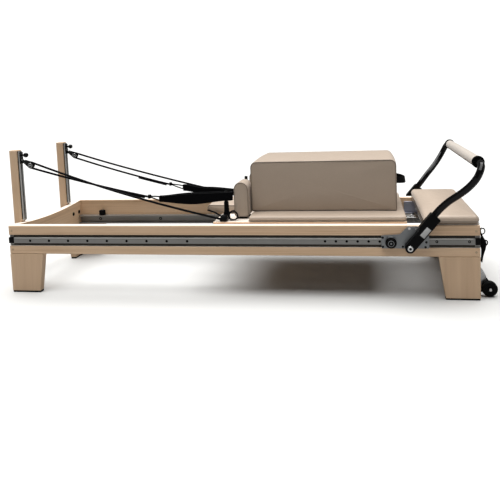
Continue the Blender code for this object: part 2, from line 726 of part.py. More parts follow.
def build_pop_pin(side, sign):
    """A spring plunger with a lobed knob; its nose stops at the rail's face."""
    nose, knob_in, knob_out = HALF_WIDTH + 0.0012, HALF_WIDTH + 0.0225, HALF_WIDTH + 0.0385
    lobes = 6
    outline = []
    for i in range(lobes * 4):
        angle = math.tau * i / (lobes * 4)
        radius = 0.0205 + 0.0020 * math.cos(lobes * angle)
        outline.append((along(PIN_FROM_HEAD) + radius * math.cos(angle), RAIL_Z + radius * math.sin(angle)))
    knob = prism(f"pop_pin_{side}", outline, "y", *mirrored(sign, knob_in, knob_out), BLACK_PLASTIC)
    centre = (nose + knob_in + 0.003) / 2
    stem = rod(
        f"pin_stem_{side}", 0.0038, "y", (along(PIN_FROM_HEAD), sign * centre, RAIL_Z), centre - nose,
        STEEL, steps=12,
    )
    unite(knob, stem)
    turn_about(knob, (along(PIN_FROM_HEAD), sign * HALF_WIDTH, RAIL_Z))


def on_arm(distance, offset=0.0):
    """(x, z) of a place on the footbar's straight lower arm, measured from the pivot."""
    return (
        along(PIVOT_FROM_HEAD) + distance * math.cos(ARM_LEAN) - offset * math.sin(ARM_LEAN),
        PIVOT_Z + distance * math.sin(ARM_LEAN) + offset * math.cos(ARM_LEAN),
    )


def build_footbar_sleeve(side, sign):
    """The moulded foot of a footbar arm: it turns on the pivot bolt and takes the tube in a socket."""
    lean = math.degrees(ARM_LEAN)
    shoulder = TUBE_OFFSET + 0.0190
    outline = arc(on_arm(0), SLEEVE_HALF, lean + 90, lean + 270, 10)
    outline += [on_arm(SLEEVE_LENGTH, -SLEEVE_HALF), on_arm(SLEEVE_LENGTH, shoulder)]
    outline += [on_arm(0.100, shoulder), on_arm(0.090, SLEEVE_HALF)]
    sleeve = prism(
        f"footbar_sleeve_{side}", outline, "y", *mirrored(sign, ARM_Y - 0.0190, ARM_Y + 0.0190), BLACK_PLASTIC
    )
    round_edges(sleeve, 0.003, 1)
    bore = rod(
        f"sleeve_bore_{side}", PIVOT_RADIUS + GAP, "y", (along(PIVOT_FROM_HEAD), sign * ARM_Y, PIVOT_Z), 0.03,
        BLACK_PLASTIC, steps=16,
    )
    x, z = on_arm(0.150, TUBE_OFFSET)
    socket = rod(f"sleeve_socket_{side}", TUBE_RADIUS + 0.0009, "z", (x, sign * ARM_Y, z), 0.053, BLACK_PLASTIC, 20)
    socket.rotation_euler = (0, math.pi / 2 - ARM_LEAN, 0)
    cut(sleeve, bore, socket)
    turn_about(sleeve, (along(PIVOT_FROM_HEAD), 0, PIVOT_Z))


def build_footbar():
    """One bent tube from sleeve to sleeve, splayed outwards, with a foam grip across its top."""
    bends = [
        (2.128, 0.433, 0.377), (2.157, 0.465, 0.398), (2.185, 0.492, 0.424), (2.213, 0.521, 0.453),
        (2.238, 0.552, 0.477), (2.258, 0.583, 0.490), (2.271, 0.609, 0.486), (2.280, 0.627, 0.468),
        (2.283, 0.635, 0.442), (2.283, 0.636, 0.412),
    ]
    half = [Vector((*on_arm(distance, TUBE_OFFSET), ARM_Y)) for distance in (0.104, 0.150, 0.195)]
    half += [Vector((along(d), z, y)) for d, z, y in bends]
    curve = smooth_curve(half, 3)
    near = [Vector((p.x, -p.z, p.y)) for p in curve]
    far = [Vector((p.x, p.z, p.y)) for p in reversed(curve)]
    bar = tube("footbar_tube", near + far, TUBE_RADIUS, BLACK_METAL, resolution=3)
    pivot = (along(PIVOT_FROM_HEAD), 0, PIVOT_Z)
    turn_about(bar, pivot)
    top = near[-1]
    grip = ring("footbar_grip", TUBE_RADIUS + 0.0004, 0.0235, 0.390, "y", (top.x, 0, top.z), FOAM, steps=24)
    turn_about(grip, pivot)


for old in list(bpy.data.objects):
    bpy.data.objects.remove(old, do_unlink=True)

WOOD = material("maple", (0.70, 0.53, 0.36), 0.45)
ALUMINIUM = material("anodised_aluminium", (0.42, 0.42, 0.41), 0.35, 1.0)
STEEL = material("grey_steel", (0.36, 0.37, 0.38), 0.40, 0.9)
BLACK_METAL = material("black_metal", (0.015, 0.015, 0.016), 0.28, 0.3)
BLACK_PLASTIC = material("black_plastic", (0.02, 0.02, 0.02), 0.45)
RUBBER = material("rubber", (0.02, 0.02, 0.02), 0.7)
ROPE_BLACK = material("rope", (0.02, 0.02, 0.022), 0.8)
NEOPRENE = material("neoprene", (0.018, 0.018, 0.02), 0.75)
LEATHER = material("leather", (0.55, 0.43, 0.34), 0.5)
FOAM = material("foam_grip", (0.68, 0.58, 0.48), 0.6)

for side_name, side_sign in SIDES:
    build_side_beam(side_name, side_sign)
    build_outer_rail(side_name, side_sign)
    build_inner_rail(side_name, side_sign)
    build_riser(side_name, side_sign)
    build_pulley(side_name, side_sign)
    build_rope(side_name, side_sign)
    build_loop_handle(side_name, side_sign)
    build_transport_wheel(side_name, side_sign)
    build_shoulder_rest(side_name, side_sign)
    build_rope_peg(side_name, side_sign)
    build_footbar_plate(side_name, side_sign)
    build_pop_pin(side_name, side_sign)
    build_footbar_sleeve(side_name, side_sign)
    for end_name in ("head", "foot"):
        build_leg(end_name, side_name, side_sign)
        build_roller(end_name, side_name, side_sign)
build_head_end_board()
build_foot_end_board()
build_foot_platform()
build_spring_bar()
build_springs()
build_carriage_frame()
build_carriage()
build_headrest()
build_sitting_box()
build_footbar()
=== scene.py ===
"""Looks of a pilates reformer: materials, upholstery, ropes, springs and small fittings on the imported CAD."""

from math import acos, atan2, copysign, cos, exp, pi, radians, sin, tan, tau

import bmesh
import bpy
from mathutils import Matrix, Vector, noise


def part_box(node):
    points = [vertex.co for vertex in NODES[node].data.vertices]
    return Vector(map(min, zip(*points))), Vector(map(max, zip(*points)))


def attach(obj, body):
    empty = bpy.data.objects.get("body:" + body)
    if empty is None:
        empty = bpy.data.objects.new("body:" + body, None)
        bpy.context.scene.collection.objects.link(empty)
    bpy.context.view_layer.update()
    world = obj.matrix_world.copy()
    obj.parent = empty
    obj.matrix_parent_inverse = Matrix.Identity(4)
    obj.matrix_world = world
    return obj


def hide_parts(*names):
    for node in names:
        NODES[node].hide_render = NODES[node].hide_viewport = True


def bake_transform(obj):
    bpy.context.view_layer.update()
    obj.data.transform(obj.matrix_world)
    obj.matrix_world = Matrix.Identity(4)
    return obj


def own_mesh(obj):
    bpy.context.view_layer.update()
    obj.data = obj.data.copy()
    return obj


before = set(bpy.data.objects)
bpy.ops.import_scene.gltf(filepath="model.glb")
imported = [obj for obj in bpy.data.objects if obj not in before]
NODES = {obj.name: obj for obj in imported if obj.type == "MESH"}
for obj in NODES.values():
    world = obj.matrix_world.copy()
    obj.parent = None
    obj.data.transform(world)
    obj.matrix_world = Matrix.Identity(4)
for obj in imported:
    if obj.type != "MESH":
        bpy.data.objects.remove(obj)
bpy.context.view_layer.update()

HEAD_FACE = -1.176
LENGTH = 2.3
FOOT_FACE = HEAD_FACE + LENGTH
HALF_WIDTH = 0.34
FRAME_TOP = 0.345
RAIL_Z = 0.27
RISER_Y = 0.217
PIVOT_D, PIVOT_Z = 1.99, 0.251
PIN_D = 1.907
SIDES = (("front", -1), ("rear", 1))
OUT = {-1: "-y", 1: "+y"}
UP, ACROSS = Vector((0, 0, 1)), Vector((0, 1, 0))


def along(distance):
    """World X of a place measured along the bed from its head-end face."""
    return HEAD_FACE + distance


# ---------------------------------------------------------------- materials


class Surface:
    """A Principled material, with short calls for the nodes behind it."""

    def __init__(self, name, roughness, metallic=0.0, coat=0.0, sheen=0.0, specular=0.5):
        self.material = bpy.data.materials.new(name)
        self.material.use_nodes = True
        self.tree = self.material.node_tree
        self.shader = self.tree.nodes["Principled BSDF"]
        settings = {"Roughness": roughness, "Metallic": metallic, "Coat Weight": coat, "Coat Roughness": 0.25}
        settings |= {"Sheen Weight": sheen, "Specular IOR Level": specular}
        for key, value in settings.items():
            self.shader.inputs[key].default_value = value
        self.place = self.node("ShaderNodeTexCoord").outputs["Object"]

    def node(self, kind, links=None, **settings):
        made = self.tree.nodes.new(kind)
        for key, value in settings.items():
            setattr(made, key, value)
        for key, source in (links or {}).items():
            if isinstance(source, bpy.types.NodeSocket):
                self.tree.links.new(source, made.inputs[key])
            else:
                made.inputs[key].default_value = source
        return made

    def scaled(self, scale):
        """The place, scaled by three factors or by one for all three."""
        if isinstance(scale, float):
            scale = (scale, scale, scale)
        return self.node("ShaderNodeMapping", {"Vector": self.place, "Scale": scale}).outputs[0]

    def noise(self, scale, detail=4.0, rough=0.55, distortion=0.0):
        links = {"Vector": self.scaled(scale), "Scale": 1.0, "Detail": detail, "Roughness": rough}
        links["Distortion"] = distortion
        return self.node("ShaderNodeTexNoise", links).outputs["Fac"]

    def cells(self, scale):
        links = {"Vector": self.scaled(scale), "Scale": 1.0}
        return self.node("ShaderNodeTexVoronoi", links, feature="DISTANCE_TO_EDGE").outputs["Distance"]

    def calculate(self, operation, a, b=0.0):
        return self.node("ShaderNodeMath", {0: a, 1: b}, operation=operation).outputs[0]

    def remap(self, value, low, high, start=0.0, end=1.0):
        links = {"Value": value, "From Min": start, "From Max": end, "To Min": low, "To Max": high}
        return self.node("ShaderNodeMapRange", links).outputs[0]

    def ramp(self, value, stops):
        made = self.node("ShaderNodeValToRGB", {"Fac": value})
        ramp = made.color_ramp
        while len(ramp.elements) < len(stops):
            ramp.elements.new(0.5)
        for element, (position, color) in zip(ramp.elements, stops):
            element.position = position
            element.color = (*color, 1.0)
        return made.outputs["Color"]

    def mix(self, factor, a, b, blend="MIX"):
        made = self.node("ShaderNodeMix", data_type="RGBA", blend_type=blend)
        for socket, value in ((made.inputs[0], factor), (made.inputs[6], a), (made.inputs[7], b)):
            if isinstance(value, bpy.types.NodeSocket):
                self.tree.links.new(value, socket)
            else:
                socket.default_value = value if isinstance(value, float) else (*value, 1.0)
        return made.outputs[2]

    def set(self, name, value):
        self.tree.links.new(value, self.shader.inputs[name])

    def bump(self, height, strength, distance):
        links = {"Height": height, "Strength": strength, "Distance": distance}
        before = self.shader.inputs["Normal"].links
        if before:
            links["Normal"] = before[0].from_socket
        self.set("Normal", self.node("ShaderNodeBump", links).outputs["Normal"])


def shade(color, factor):
    return tuple(min(1.0, c * factor) for c in color)


def maple(name, axis, seed, tone=1.0, contrast=1.0):
    """Light wood, grained along one axis, with growth lines, pores and darker end grain; painted light makes its
    upward faces paler.
    """
    made = Surface(name, roughness=0.45, coat=0.12)
    stretch = {"x": (0.9, 9.0, 9.0), "y": (9.0, 0.9, 9.0), "z": (9.0, 9.0, 0.9)}[axis]
    shift = (seed * 1.7, seed * 0.9, seed * 2.3)
    made.place = made.node("ShaderNodeVectorMath", {0: made.place, 1: shift}).outputs[0]
    figure = made.noise(shade_scale(stretch, 1.4), 3.0, 0.5, 1.2)
    lines = made.noise(shade_scale(stretch, 14.0, axis, 1.1), 2.0, 0.6, 0.4)
    pores = made.noise(shade_scale(stretch, 60.0, axis, 14.0), 2.0, 0.7)
    tones = [(0.25, (0.705, 0.48, 0.298)), (0.5, (0.785, 0.548, 0.35)), (0.8, (0.842, 0.61, 0.405))]
    base = made.ramp(figure, [(place, shade(color, tone)) for place, color in tones])
    streaks = made.ramp(lines, [(0.3, (0.8, 0.74, 0.66)), (0.55, (1.0, 1.0, 1.0)), (0.8, (1.04, 1.02, 1.0))])
    color = made.mix(0.75 * contrast, base, streaks, "MULTIPLY")
    fine = made.ramp(pores, [(0.28, (0.82, 0.76, 0.68)), (0.42, (1.0, 1.0, 1.0))])
    color = made.mix(0.55 * contrast, color, fine, "MULTIPLY")
    normal = made.node("ShaderNodeSeparateXYZ", {0: made.node("ShaderNodeTexCoord").outputs["Normal"]})
    facing = made.calculate("ABSOLUTE", normal.outputs["XYZ".index(axis.upper())])
    end = made.remap(facing, 0.0, 1.0, 0.6, 0.95)
    links = {"Vector": made.place, "Scale": 55.0, "Distortion": 3.0, "Detail": 2.0}
    rings = made.node("ShaderNodeTexWave", links, wave_type="RINGS", rings_direction=axis.upper())
    end_color = made.ramp(rings.outputs["Fac"], [(0.0, (0.46, 0.32, 0.2)), (1.0, (0.62, 0.45, 0.29))])
    # Painted light: faces turned upward are mixed towards a pale cream, standing in for the strong light from
    # above.
    top = made.remap(normal.outputs["Z"], 0.0, 0.85, 0.7, 0.97)
    color = made.mix(top, color, (0.96, 0.9, 0.82))
    made.set("Base Color", made.mix(end, color, end_color))
    made.set("Roughness", made.remap(lines, 0.38, 0.54))
    made.bump(pores, 0.25, 0.0002)
    made.bump(lines, 0.1, 0.0003)
    return made.material


def shade_scale(scale, factor, axis=None, lengthwise=None):
    """Scales a mapping vector, with a factor of its own along the grain."""
    values = [c * factor for c in scale]
    if axis:
        values["xyz".index(axis)] = scale["xyz".index(axis)] * lengthwise
    return tuple(values)


def leather(name, color, grain=420.0, roughness=0.46):
    """Soft synthetic leather: pebbled grain with painted shade in its valleys, faint creases, cloudy tone and a
    broken sheen.
    """
    made = Surface(name, roughness=roughness, sheen=0.2, specular=0.42)
    cloud = made.noise(5.0, 4.0, 0.6)
    fine = made.noise(38.0, 3.0, 0.6)
    base = made.mix(cloud, shade(color, 0.94), shade(color, 1.06))
    pebble = made.cells(grain)
    # Painted shade: the edges of the grain's cells, its valleys, are darkened.
    painted_valley_shade = made.remap(pebble, 0.84, 1.0, 0.0, 0.12)
    darker = made.ramp(painted_valley_shade, [(0.84, (0.88, 0.87, 0.86)), (1.0, (1.0, 1.0, 1.0))])
    made.set("Base Color", made.mix(1.0, base, darker, "MULTIPLY"))
    made.set("Roughness", made.remap(fine, roughness - 0.09, roughness + 0.09, 0.3, 0.7))
    made.bump(made.remap(pebble, 0.0, 1.0, 0.0, 0.25), 0.22, 0.0004)
    made.bump(fine, 0.1, 0.0012)
    return made.material


def brushed(name, color, roughness, axis, metallic=1.0):
    """Satin metal with a fine brushed or drawn finish along one axis, slightly smudged."""
    made = Surface(name, roughness=roughness, metallic=metallic)
    scale = tuple(8.0 if axis == name_of else 900.0 for name_of in "xyz")
    lines = made.noise(scale, 2.0, 0.7)
    smudge = made.noise(9.0, 5.0, 0.6)
    base = made.mix(lines, shade(color, 0.92), shade(color, 1.08))
    base = made.mix(made.remap(smudge, 0.0, 0.35, 0.45, 0.8), base, shade(color, 0.8))
    made.set("Base Color", base)
    drawn = made.remap(lines, roughness - 0.03, roughness + 0.03)
    made.set("Roughness", made.calculate("ADD", made.remap(smudge, -0.07, 0.1, 0.3, 0.7), drawn))
    made.bump(lines, 0.08, 0.0002)
    return made.material


def moulded(name, color, roughness, texture, strength, specular, dust_color=0.006):
    """Moulded plastic, rubber or powder coat: a fine skin texture, rubbed brighter here and there."""
    made = Surface(name, roughness=roughness, specular=specular)
    grain = made.noise(texture, 2.0, 0.6)
    dust = made.noise(22.0, 5.0, 0.65)
    dusty = tuple(c + dust_color for c in color)
    made.set("Base Color", made.mix(made.remap(dust, 0.0, 0.5, 0.45, 0.8), color, dusty))
    made.set("Roughness", made.remap(dust, roughness - 0.08, roughness + 0.1, 0.3, 0.7))
    made.bump(grain, strength, 0.0003)
    return made.material


def woven(name, color, across, lengthwise, strength):
    """Braid or webbing, woven along the UV map's V direction, with painted light on its raised threads and
    painted shade between them. U runs once across the piece.
    """
    made = Surface(name, roughness=0.85, sheen=0.01, specular=0.06)
    split = made.node("ShaderNodeSeparateXYZ", {0: made.node("ShaderNodeTexCoord").outputs["UV"]})
    u = made.calculate("MULTIPLY", split.outputs[0], across * tau)
    v = made.calculate("MULTIPLY", split.outputs[1], lengthwise * tau)
    one = made.calculate("SINE", made.calculate("ADD", u, v))
    two = made.calculate("SINE", made.calculate("SUBTRACT", u, v))
    height = made.calculate("MAXIMUM", one, two)
    fuzz = made.noise(700.0, 2.0)
    height = made.calculate("ADD", height, made.calculate("MULTIPLY", fuzz, 0.5))
    # Painted light and shade: raised threads are painted lighter and the hollows between them darker.
    painted_weave_shade = made.remap(height, 0.0, 1.0, -0.4, 1.2)
    made.set("Base Color", made.mix(painted_weave_shade, shade(color, 0.45), shade(color, 1.5)))
    made.bump(height, strength, 0.0005)
    return made.material


TAUPE = (0.428, 0.342, 0.266)
WOOD = {axis: maple(f"maple_{axis}", axis, seed) for seed, axis in enumerate("xy", 1)}
WOOD["z"] = maple("maple_z", "z", 3, 0.93, 0.22)
# A paler copy of the maple for the carriage board, made paler as painted light standing in for the bright light
# on its top.
PALE_WOOD_PAINTED_LIGHT = maple("maple_pale_painted_light", "x", 4, 1.15, 0.5)
LEATHER = leather("leather_taupe", TAUPE)
# Piping leather at half the taupe: its darkness is painted shade, standing in for the dark groove along each
# seam.
WELT_WITH_PAINTED_SHADE = leather("leather_welt_painted_shade", shade(TAUPE, 0.5), 600.0, 0.42)
CREAM = leather("leather_cream", (0.54, 0.485, 0.425), 500.0, 0.42)
THREAD = woven("stitch_thread", shade(TAUPE, 0.8), 1, 600, 0.2)
RAIL = brushed("rail_anodised", (0.275, 0.27, 0.255), 0.42, "x", 0.45)
# The rail's ridge stands a hair proud, and its pale colour is a painted highlight along it.
RIDGE_PAINTED_HIGHLIGHT = brushed("rail_ridge_painted_highlight", (0.46, 0.455, 0.43), 0.36, "x", 0.4)
RAIL_Z_METAL = brushed("channel_anodised", (0.55, 0.55, 0.53), 0.38, "z", 0.4)
PLATE = brushed("plate_steel", (0.27, 0.28, 0.285), 0.42, "z", 0.85)
STEEL = brushed("zinc_steel", (0.5, 0.5, 0.49), 0.3, "y")
BRIGHT = brushed("bright_steel", (0.72, 0.72, 0.71), 0.18, "z")
BLACK_STEEL = moulded("black_powder_coat", (0.0015, 0.0015, 0.0017), 0.15, 1400.0, 0.04, 0.22, 0.001)
BLACK_PLASTIC = moulded("black_plastic", (0.0018, 0.0018, 0.002), 0.36, 1100.0, 0.12, 0.09, 0.001)
BLACK_RUBBER = moulded("black_rubber", (0.0035, 0.0035, 0.0036), 0.6, 700.0, 0.25, 0.08, 0.002)
# The darkest black: the own colour of black bolts and screws, and painted shade for holes and slots.
BLACK_AND_HOLE_SHADE = moulded("black_and_hole_shade", (0.002, 0.002, 0.002), 0.7, 700.0, 0.1, 0.05, 0.002)
LINE_DARK = moulded("shadow_line", (0.052, 0.047, 0.038), 0.6, 700.0, 0.1, 0.2)
LABEL = moulded("label_patch", (0.5, 0.5, 0.49), 0.42, 1500.0, 0.04, 0.3, 0.05)
LABEL_PRINT = moulded("label_border", (0.12, 0.12, 0.12), 0.45, 1500.0, 0.04, 0.3, 0.02)
BLUE_STEEL = brushed("bracket_steel", (0.36, 0.37, 0.44), 0.36, "z", 0.6)
NEOPRENE = moulded("neoprene", (0.0022, 0.0022, 0.0028), 0.8, 1300.0, 0.45, 0.05, 0.0015)
CORD = woven("braided_cord", (0.0035, 0.0035, 0.0042), 4, 1, 0.6)
WEBBING = woven("black_webbing", (0.0035, 0.0035, 0.004), 10, 1, 0.6)


# ---------------------------------------------------------------- mesh tools


def link(name, data):
    """Puts an object that holds this mesh, light or camera in the scene."""
    obj = bpy.data.objects.new(name, data)
    bpy.context.scene.collection.objects.link(obj)
    return obj


def add(name, bm, finish, body="root", sharp=35.0, subdivide=0):
    """Turns a bmesh into a piece that rides on a body."""
    bmesh.ops.recalc_face_normals(bm, faces=bm.faces)
    mesh = bpy.data.meshes.new(name)
    bm.to_mesh(mesh)
    bm.free()
    obj = link(name, mesh)
    mesh.materials.append(finish)
    mesh.shade_smooth()
    mesh.set_sharp_from_angle(angle=radians(sharp))
    if subdivide:
        smooth = obj.modifiers.new("smooth", "SUBSURF")
        smooth.levels = smooth.render_levels = subdivide
    if body:
        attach(obj, body)
    return obj


def skin(bm, rings, closed=False, caps=True):
    """Joins rings of vertices into a tube."""
    loops = rings + [rings[0]] if closed else rings
    faces = []
    for a, b in zip(loops, loops[1:]):
        count = len(a)
        for i in range(count):
            j = (i + 1) % count
            faces.append(bm.faces.new((a[i], a[j], b[j], b[i])))
    if caps and not closed:
        bm.faces.new(list(reversed(rings[0])))
        bm.faces.new(rings[-1])
    return faces


def frames_along(points, up=UP, closed=False):
    """(point, side, normal) at each point of a path, turning as little as possible."""
    count = len(points)
    result = []
    normal = None
    for i, point in enumerate(points):
        if closed:
            tangent = points[(i + 1) % count] - points[i - 1]
        else:
            tangent = points[min(i + 1, count - 1)] - points[max(i - 1, 0)]
        tangent.normalize()
        guide = up if normal is None else normal
        normal = guide - tangent * guide.dot(tangent)
        if normal.length < 1e-6:
            normal = tangent.orthogonal()
        normal.normalize()
        result.append((point, tangent.cross(normal), normal))
    return result


def sweep(bm, points, section, up=UP, closed=False, size=None, pitch=0.01):
    """Sweeps a closed section of (side, normal) offsets along a path. U runs once round, V once every pitch."""
    rings = []
    lengths = [0.0]
    for a, b in zip(points, points[1:]):
        lengths.append(lengths[-1] + (b - a).length)
    for i, (point, side, normal) in enumerate(frames_along(points, up, closed)):
        grow = size(i / max(1, len(points) - 1)) if size else (1.0, 1.0)
        rings.append([bm.verts.new(point + side * a * grow[0] + normal * b * grow[1]) for a, b in section])
    faces = skin(bm, rings, closed)
    layer = bm.loops.layers.uv.verify()
    count = len(section)
    lengths.append(lengths[-1] + (points[0] - points[-1]).length)
    for number, face in enumerate(faces):
        ring, i = divmod(number, count)
        start, end = lengths[ring] / pitch, lengths[ring + 1] / pitch
        for loop, uv in zip(face.loops, ((i, start), (i + 1, start), (i + 1, end), (i, end))):
            loop[layer].uv = (uv[0] / count, uv[1])


def circle(radius, sides=8):
    return [(radius * cos(a), radius * sin(a)) for a in (tau * i / sides for i in range(sides))]


def oval(half_width, half_height, power, sides):
    """A rounded flat section."""
    points = []
    for i in range(sides):
        a = tau * i / sides
        c, s = cos(a), sin(a)
        x = half_width * copysign(abs(c) ** (2 / power), c)
        y = half_height * copysign(abs(s) ** (2 / power), s)
        points.append((x, y))
    return points


def turn_to(axis):
    """A matrix that turns +Z to '+x', '-x', '+y' or '-y', or leaves it as '+z'."""
    sign = 1 if axis[0] == "+" else -1
    if axis[1] == "x":
        return Matrix.Rotation(sign * pi / 2, 4, "Y")
    if axis[1] == "y":
        return Matrix.Rotation(-sign * pi / 2, 4, "X")
    return Matrix()


def mm(*pairs):
    """Pairs of lengths given in millimetres, in metres."""
    return [(a / 1000, b / 1000) for a, b in pairs]


def lathe(bm, profile, centre, axis, steps, hexagon=()):
    """Turns a profile of (radius, height) points about an axis. Rows named in hexagon are six-sided."""
    place = Matrix.Translation(centre) @ turn_to(axis)
    rings = []
    for row, (radius, height) in enumerate(profile):
        if radius == 0.0:
            rings.append([bm.verts.new(place @ Vector((0, 0, height)))])
            continue
        ring = []
        for i in range(steps):
            a = tau * i / steps
            reach = radius
            if row in hexagon:
                reach = radius * cos(pi / 6) / cos((a % (pi / 3)) - pi / 6)
            ring.append(bm.verts.new(place @ Vector((reach * cos(a), reach * sin(a), height))))
        rings.append(ring)
    for a, b in zip(rings, rings[1:]):
        for i in range(steps):
            j = (i + 1) % steps
            if len(a) == 1:
                bm.faces.new((a[0], b[j], b[i]))
            elif len(b) == 1:
                bm.faces.new((a[i], a[j], b[0]))
            else:
                bm.faces.new((a[i], a[j], b[j], b[i]))


def bolt_head(bm, centre, axis, radius, height):
    """A round-headed bolt with a hexagonal socket, standing on its centre point."""
    r, h = radius, height
    profile = [(0.0, -0.001), (r, -0.001), (r, h * 0.45), (r * 0.93, h * 0.78), (r * 0.74, h), (r * 0.5, h)]
    profile += [(r * 0.47, h * 0.35), (0.0, h * 0.3)]
    lathe(bm, profile, centre, axis, 18, hexagon=(5, 6))


def flat_screw(bm, centre, axis, radius):
    """A countersunk screw with a cross recess hinted by a hexagon, almost flush."""
    r = radius
    profile = [(0.0, -0.0006), (r, -0.0006), (r, 0.0003), (r * 0.88, 0.0006), (r * 0.5, 0.0006)]
    profile += [(r * 0.42, -0.0004), (0.0, -0.0005)]
    lathe(bm, profile, centre, axis, 18, hexagon=(4, 5))


def flush_disc(bm, centre, axis, radius):
    """The head of a screw let in flush, standing a hair proud of its face."""
    lathe(bm, [(0.0, 0.0003), (radius, 0.0003), (radius, -0.0006), (0.0, -0.0006)], centre, axis, 16)


def washer(bm, centre, axis, inner, outer, thickness):
    bevel = thickness * 0.3
    profile = [(inner, 0), (outer - bevel, 0), (outer, bevel), (outer, thickness * 0.7)]
    profile += [(outer - bevel, thickness), (inner, thickness), (inner, 0)]
    lathe(bm, profile, centre, axis, 24)


def soft_block(bm, low, high, radius, steps=3):
    """A box with all its edges and corners rounded."""
    low, high = Vector(low), Vector(high)
    made = bmesh.ops.create_cube(bm, size=1.0)
    size = high - low
    for v in made["verts"]:
        v.co = Vector(((v.co.x + 0.5) * size.x, (v.co.y + 0.5) * size.y, (v.co.z + 0.5) * size.z)) + low
    edges = {e for v in made["verts"] for e in v.link_edges}
    bmesh.ops.bevel(bm, geom=list(edges), offset=radius, segments=steps, profile=0.5, affect="EDGES")


def plate_shape(bm, outline, low, high, radius):
    """An outline of (x, z) points extruded across the bed, with its edges rounded."""
    bottom = [bm.verts.new((x, low, z)) for x, z in outline]
    top = [bm.verts.new((x, high, z)) for x, z in outline]
    count = len(outline)
    faces = [bm.faces.new(bottom), bm.faces.new(list(reversed(top)))]
    for i in range(count):
        j = (i + 1) % count
        faces.append(bm.faces.new((bottom[i], top[i], top[j], bottom[j])))
    bmesh.ops.recalc_face_normals(bm, faces=faces)
    edges = [e for face in faces[:2] for e in face.edges]
    bmesh.ops.bevel(bm, geom=edges, offset=radius, segments=2, profile=0.5, affect="EDGES")


def rounded(corners, spacing, arc_steps):
    """A dense closed outline through (x, y, radius) corners, given anticlockwise."""
    outline = []
    count = len(corners)
    for i, (x, y, radius) in enumerate(corners):
        here = Vector((x, y))
        before = Vector(corners[i - 1][:2])
        after = Vector(corners[(i + 1) % count][:2])
        back, ahead = (before - here).normalized(), (after - here).normalized()
        angle = acos(max(-1.0, min(1.0, back.dot(ahead))))
        reach = radius / tan(angle / 2)
        first, last = here + back * reach, here + ahead * reach
        middle = here + (back + ahead).normalized() * (radius / sin(angle / 2))
        a0 = atan2(first.y - middle.y, first.x - middle.x)
        a1 = atan2(last.y - middle.y, last.x - middle.x)
        if a1 < a0:
            a1 += tau
        for k in range(arc_steps + 1):
            a = a0 + (a1 - a0) * k / arc_steps
            outline.append(Vector((middle.x + radius * cos(a), middle.y + radius * sin(a))))
    dense = []
    for a, b in zip(outline, outline[1:] + outline[:1]):
        steps = max(1, round((b - a).length / spacing))
        dense += [a.lerp(b, k / steps) for k in range(steps)]
    return dense


def outline_normals(outline):
    count = len(outline)
    normals = []
    for i in range(count):
        step = outline[(i + 1) % count] - outline[i - 1]
        normals.append(Vector((step.y, -step.x)).normalized())
    return normals


PLACE = {
    "x": lambda p, c: Vector((c, p.x, p.y)),
    "y": lambda p, c: Vector((p.x, c, p.y)),
    "z": lambda p, c: Vector((p.x, p.y, c)),
}


def cushion(name, outline, axis, ends, rim, crown, body, bulge, wrinkle, seed, wall):
    """A crowned closed cushion: an outline taken along an axis, with round rims and puffed ends.

    ends are its low and high ends along the axis, and crown is how far each of them swells. bulge is how far
    the wall swells between its seams, and wall is the number of steps across it."""
    place = PLACE[axis]
    low, high = ends
    count = len(outline)
    normals = outline_normals(outline)
    middle = sum(outline, Vector((0, 0))) / count
    caps = [0.12, 0.28, 0.45, 0.62, 0.76, 0.87, 0.94, 0.98, 1.0]

    def cap_row(s, end, sign, swell):
        height = end + sign * swell * (1 - s**3) ** 1.3
        return [(middle + (p - n * rim - middle) * s, height) for p, n in zip(outline, normals)]

    def rim_row(angle, end, sign):
        inset = rim * (1 - sin(angle))
        height = end - sign * rim * (1 - cos(angle))
        return [(p - n * inset, height) for p, n in zip(outline, normals)]

    rim_angles = [radians(a) for a in (20, 40, 60, 78)]
    rows = [cap_row(s, low, -1, crown[0]) for s in caps]
    rows += [rim_row(a, low, -1) for a in rim_angles]
    for k in range(wall + 1):
        t = k / wall
        swell = bulge * sin(pi * t) ** 0.7
        height = low + rim + (high - low - 2 * rim) * t
        rows.append([(p + n * swell, height) for p, n in zip(outline, normals)])
    rows += [rim_row(a, high, 1) for a in reversed(rim_angles)]
    rows += [cap_row(s, high, 1, crown[1]) for s in reversed(caps)]
    bm = bmesh.new()
    rings = [[bm.verts.new(place(p, c)) for p, c in row] for row in rows]
    skin(bm, rings, caps=False)
    for ring, end, sign, swell in ((rings[0], low, -1, crown[0]), (rings[-1], high, 1, crown[1])):
        top = bm.verts.new(place(middle, end + sign * swell))
        for i in range(count):
            bm.faces.new((ring[i], ring[(i + 1) % count], top))
    bm.normal_update()
    shift = Vector((seed, seed * 1.3, seed * 0.7))
    for v in bm.verts:
        slow = noise.noise(v.co * 9.0 + shift)
        quick = noise.noise(Vector((v.co.x * 34.0, v.co.y * 34.0, v.co.z * 60.0)) + shift)
        v.co += v.normal * wrinkle * (slow + 0.5 * quick)
    obj = add(name, bm, LEATHER, body, sharp=180.0, subdivide=1)
    return obj


def rim_path(outline, axis, height, inset):
    normals = outline_normals(outline)
    return [PLACE[axis](p - n * inset, height) for p, n in zip(outline, normals)]


def welts(name, paths, radius, body, up=UP):
    """Piping: a thin covered cord along each closed path, in leather darkened as painted shade."""
    bm = bmesh.new()
    for path in paths:
        sweep(bm, path, circle(radius), up, closed=True)
    obj = add(name, bm, WELT_WITH_PAINTED_SHADE, body, sharp=180.0)


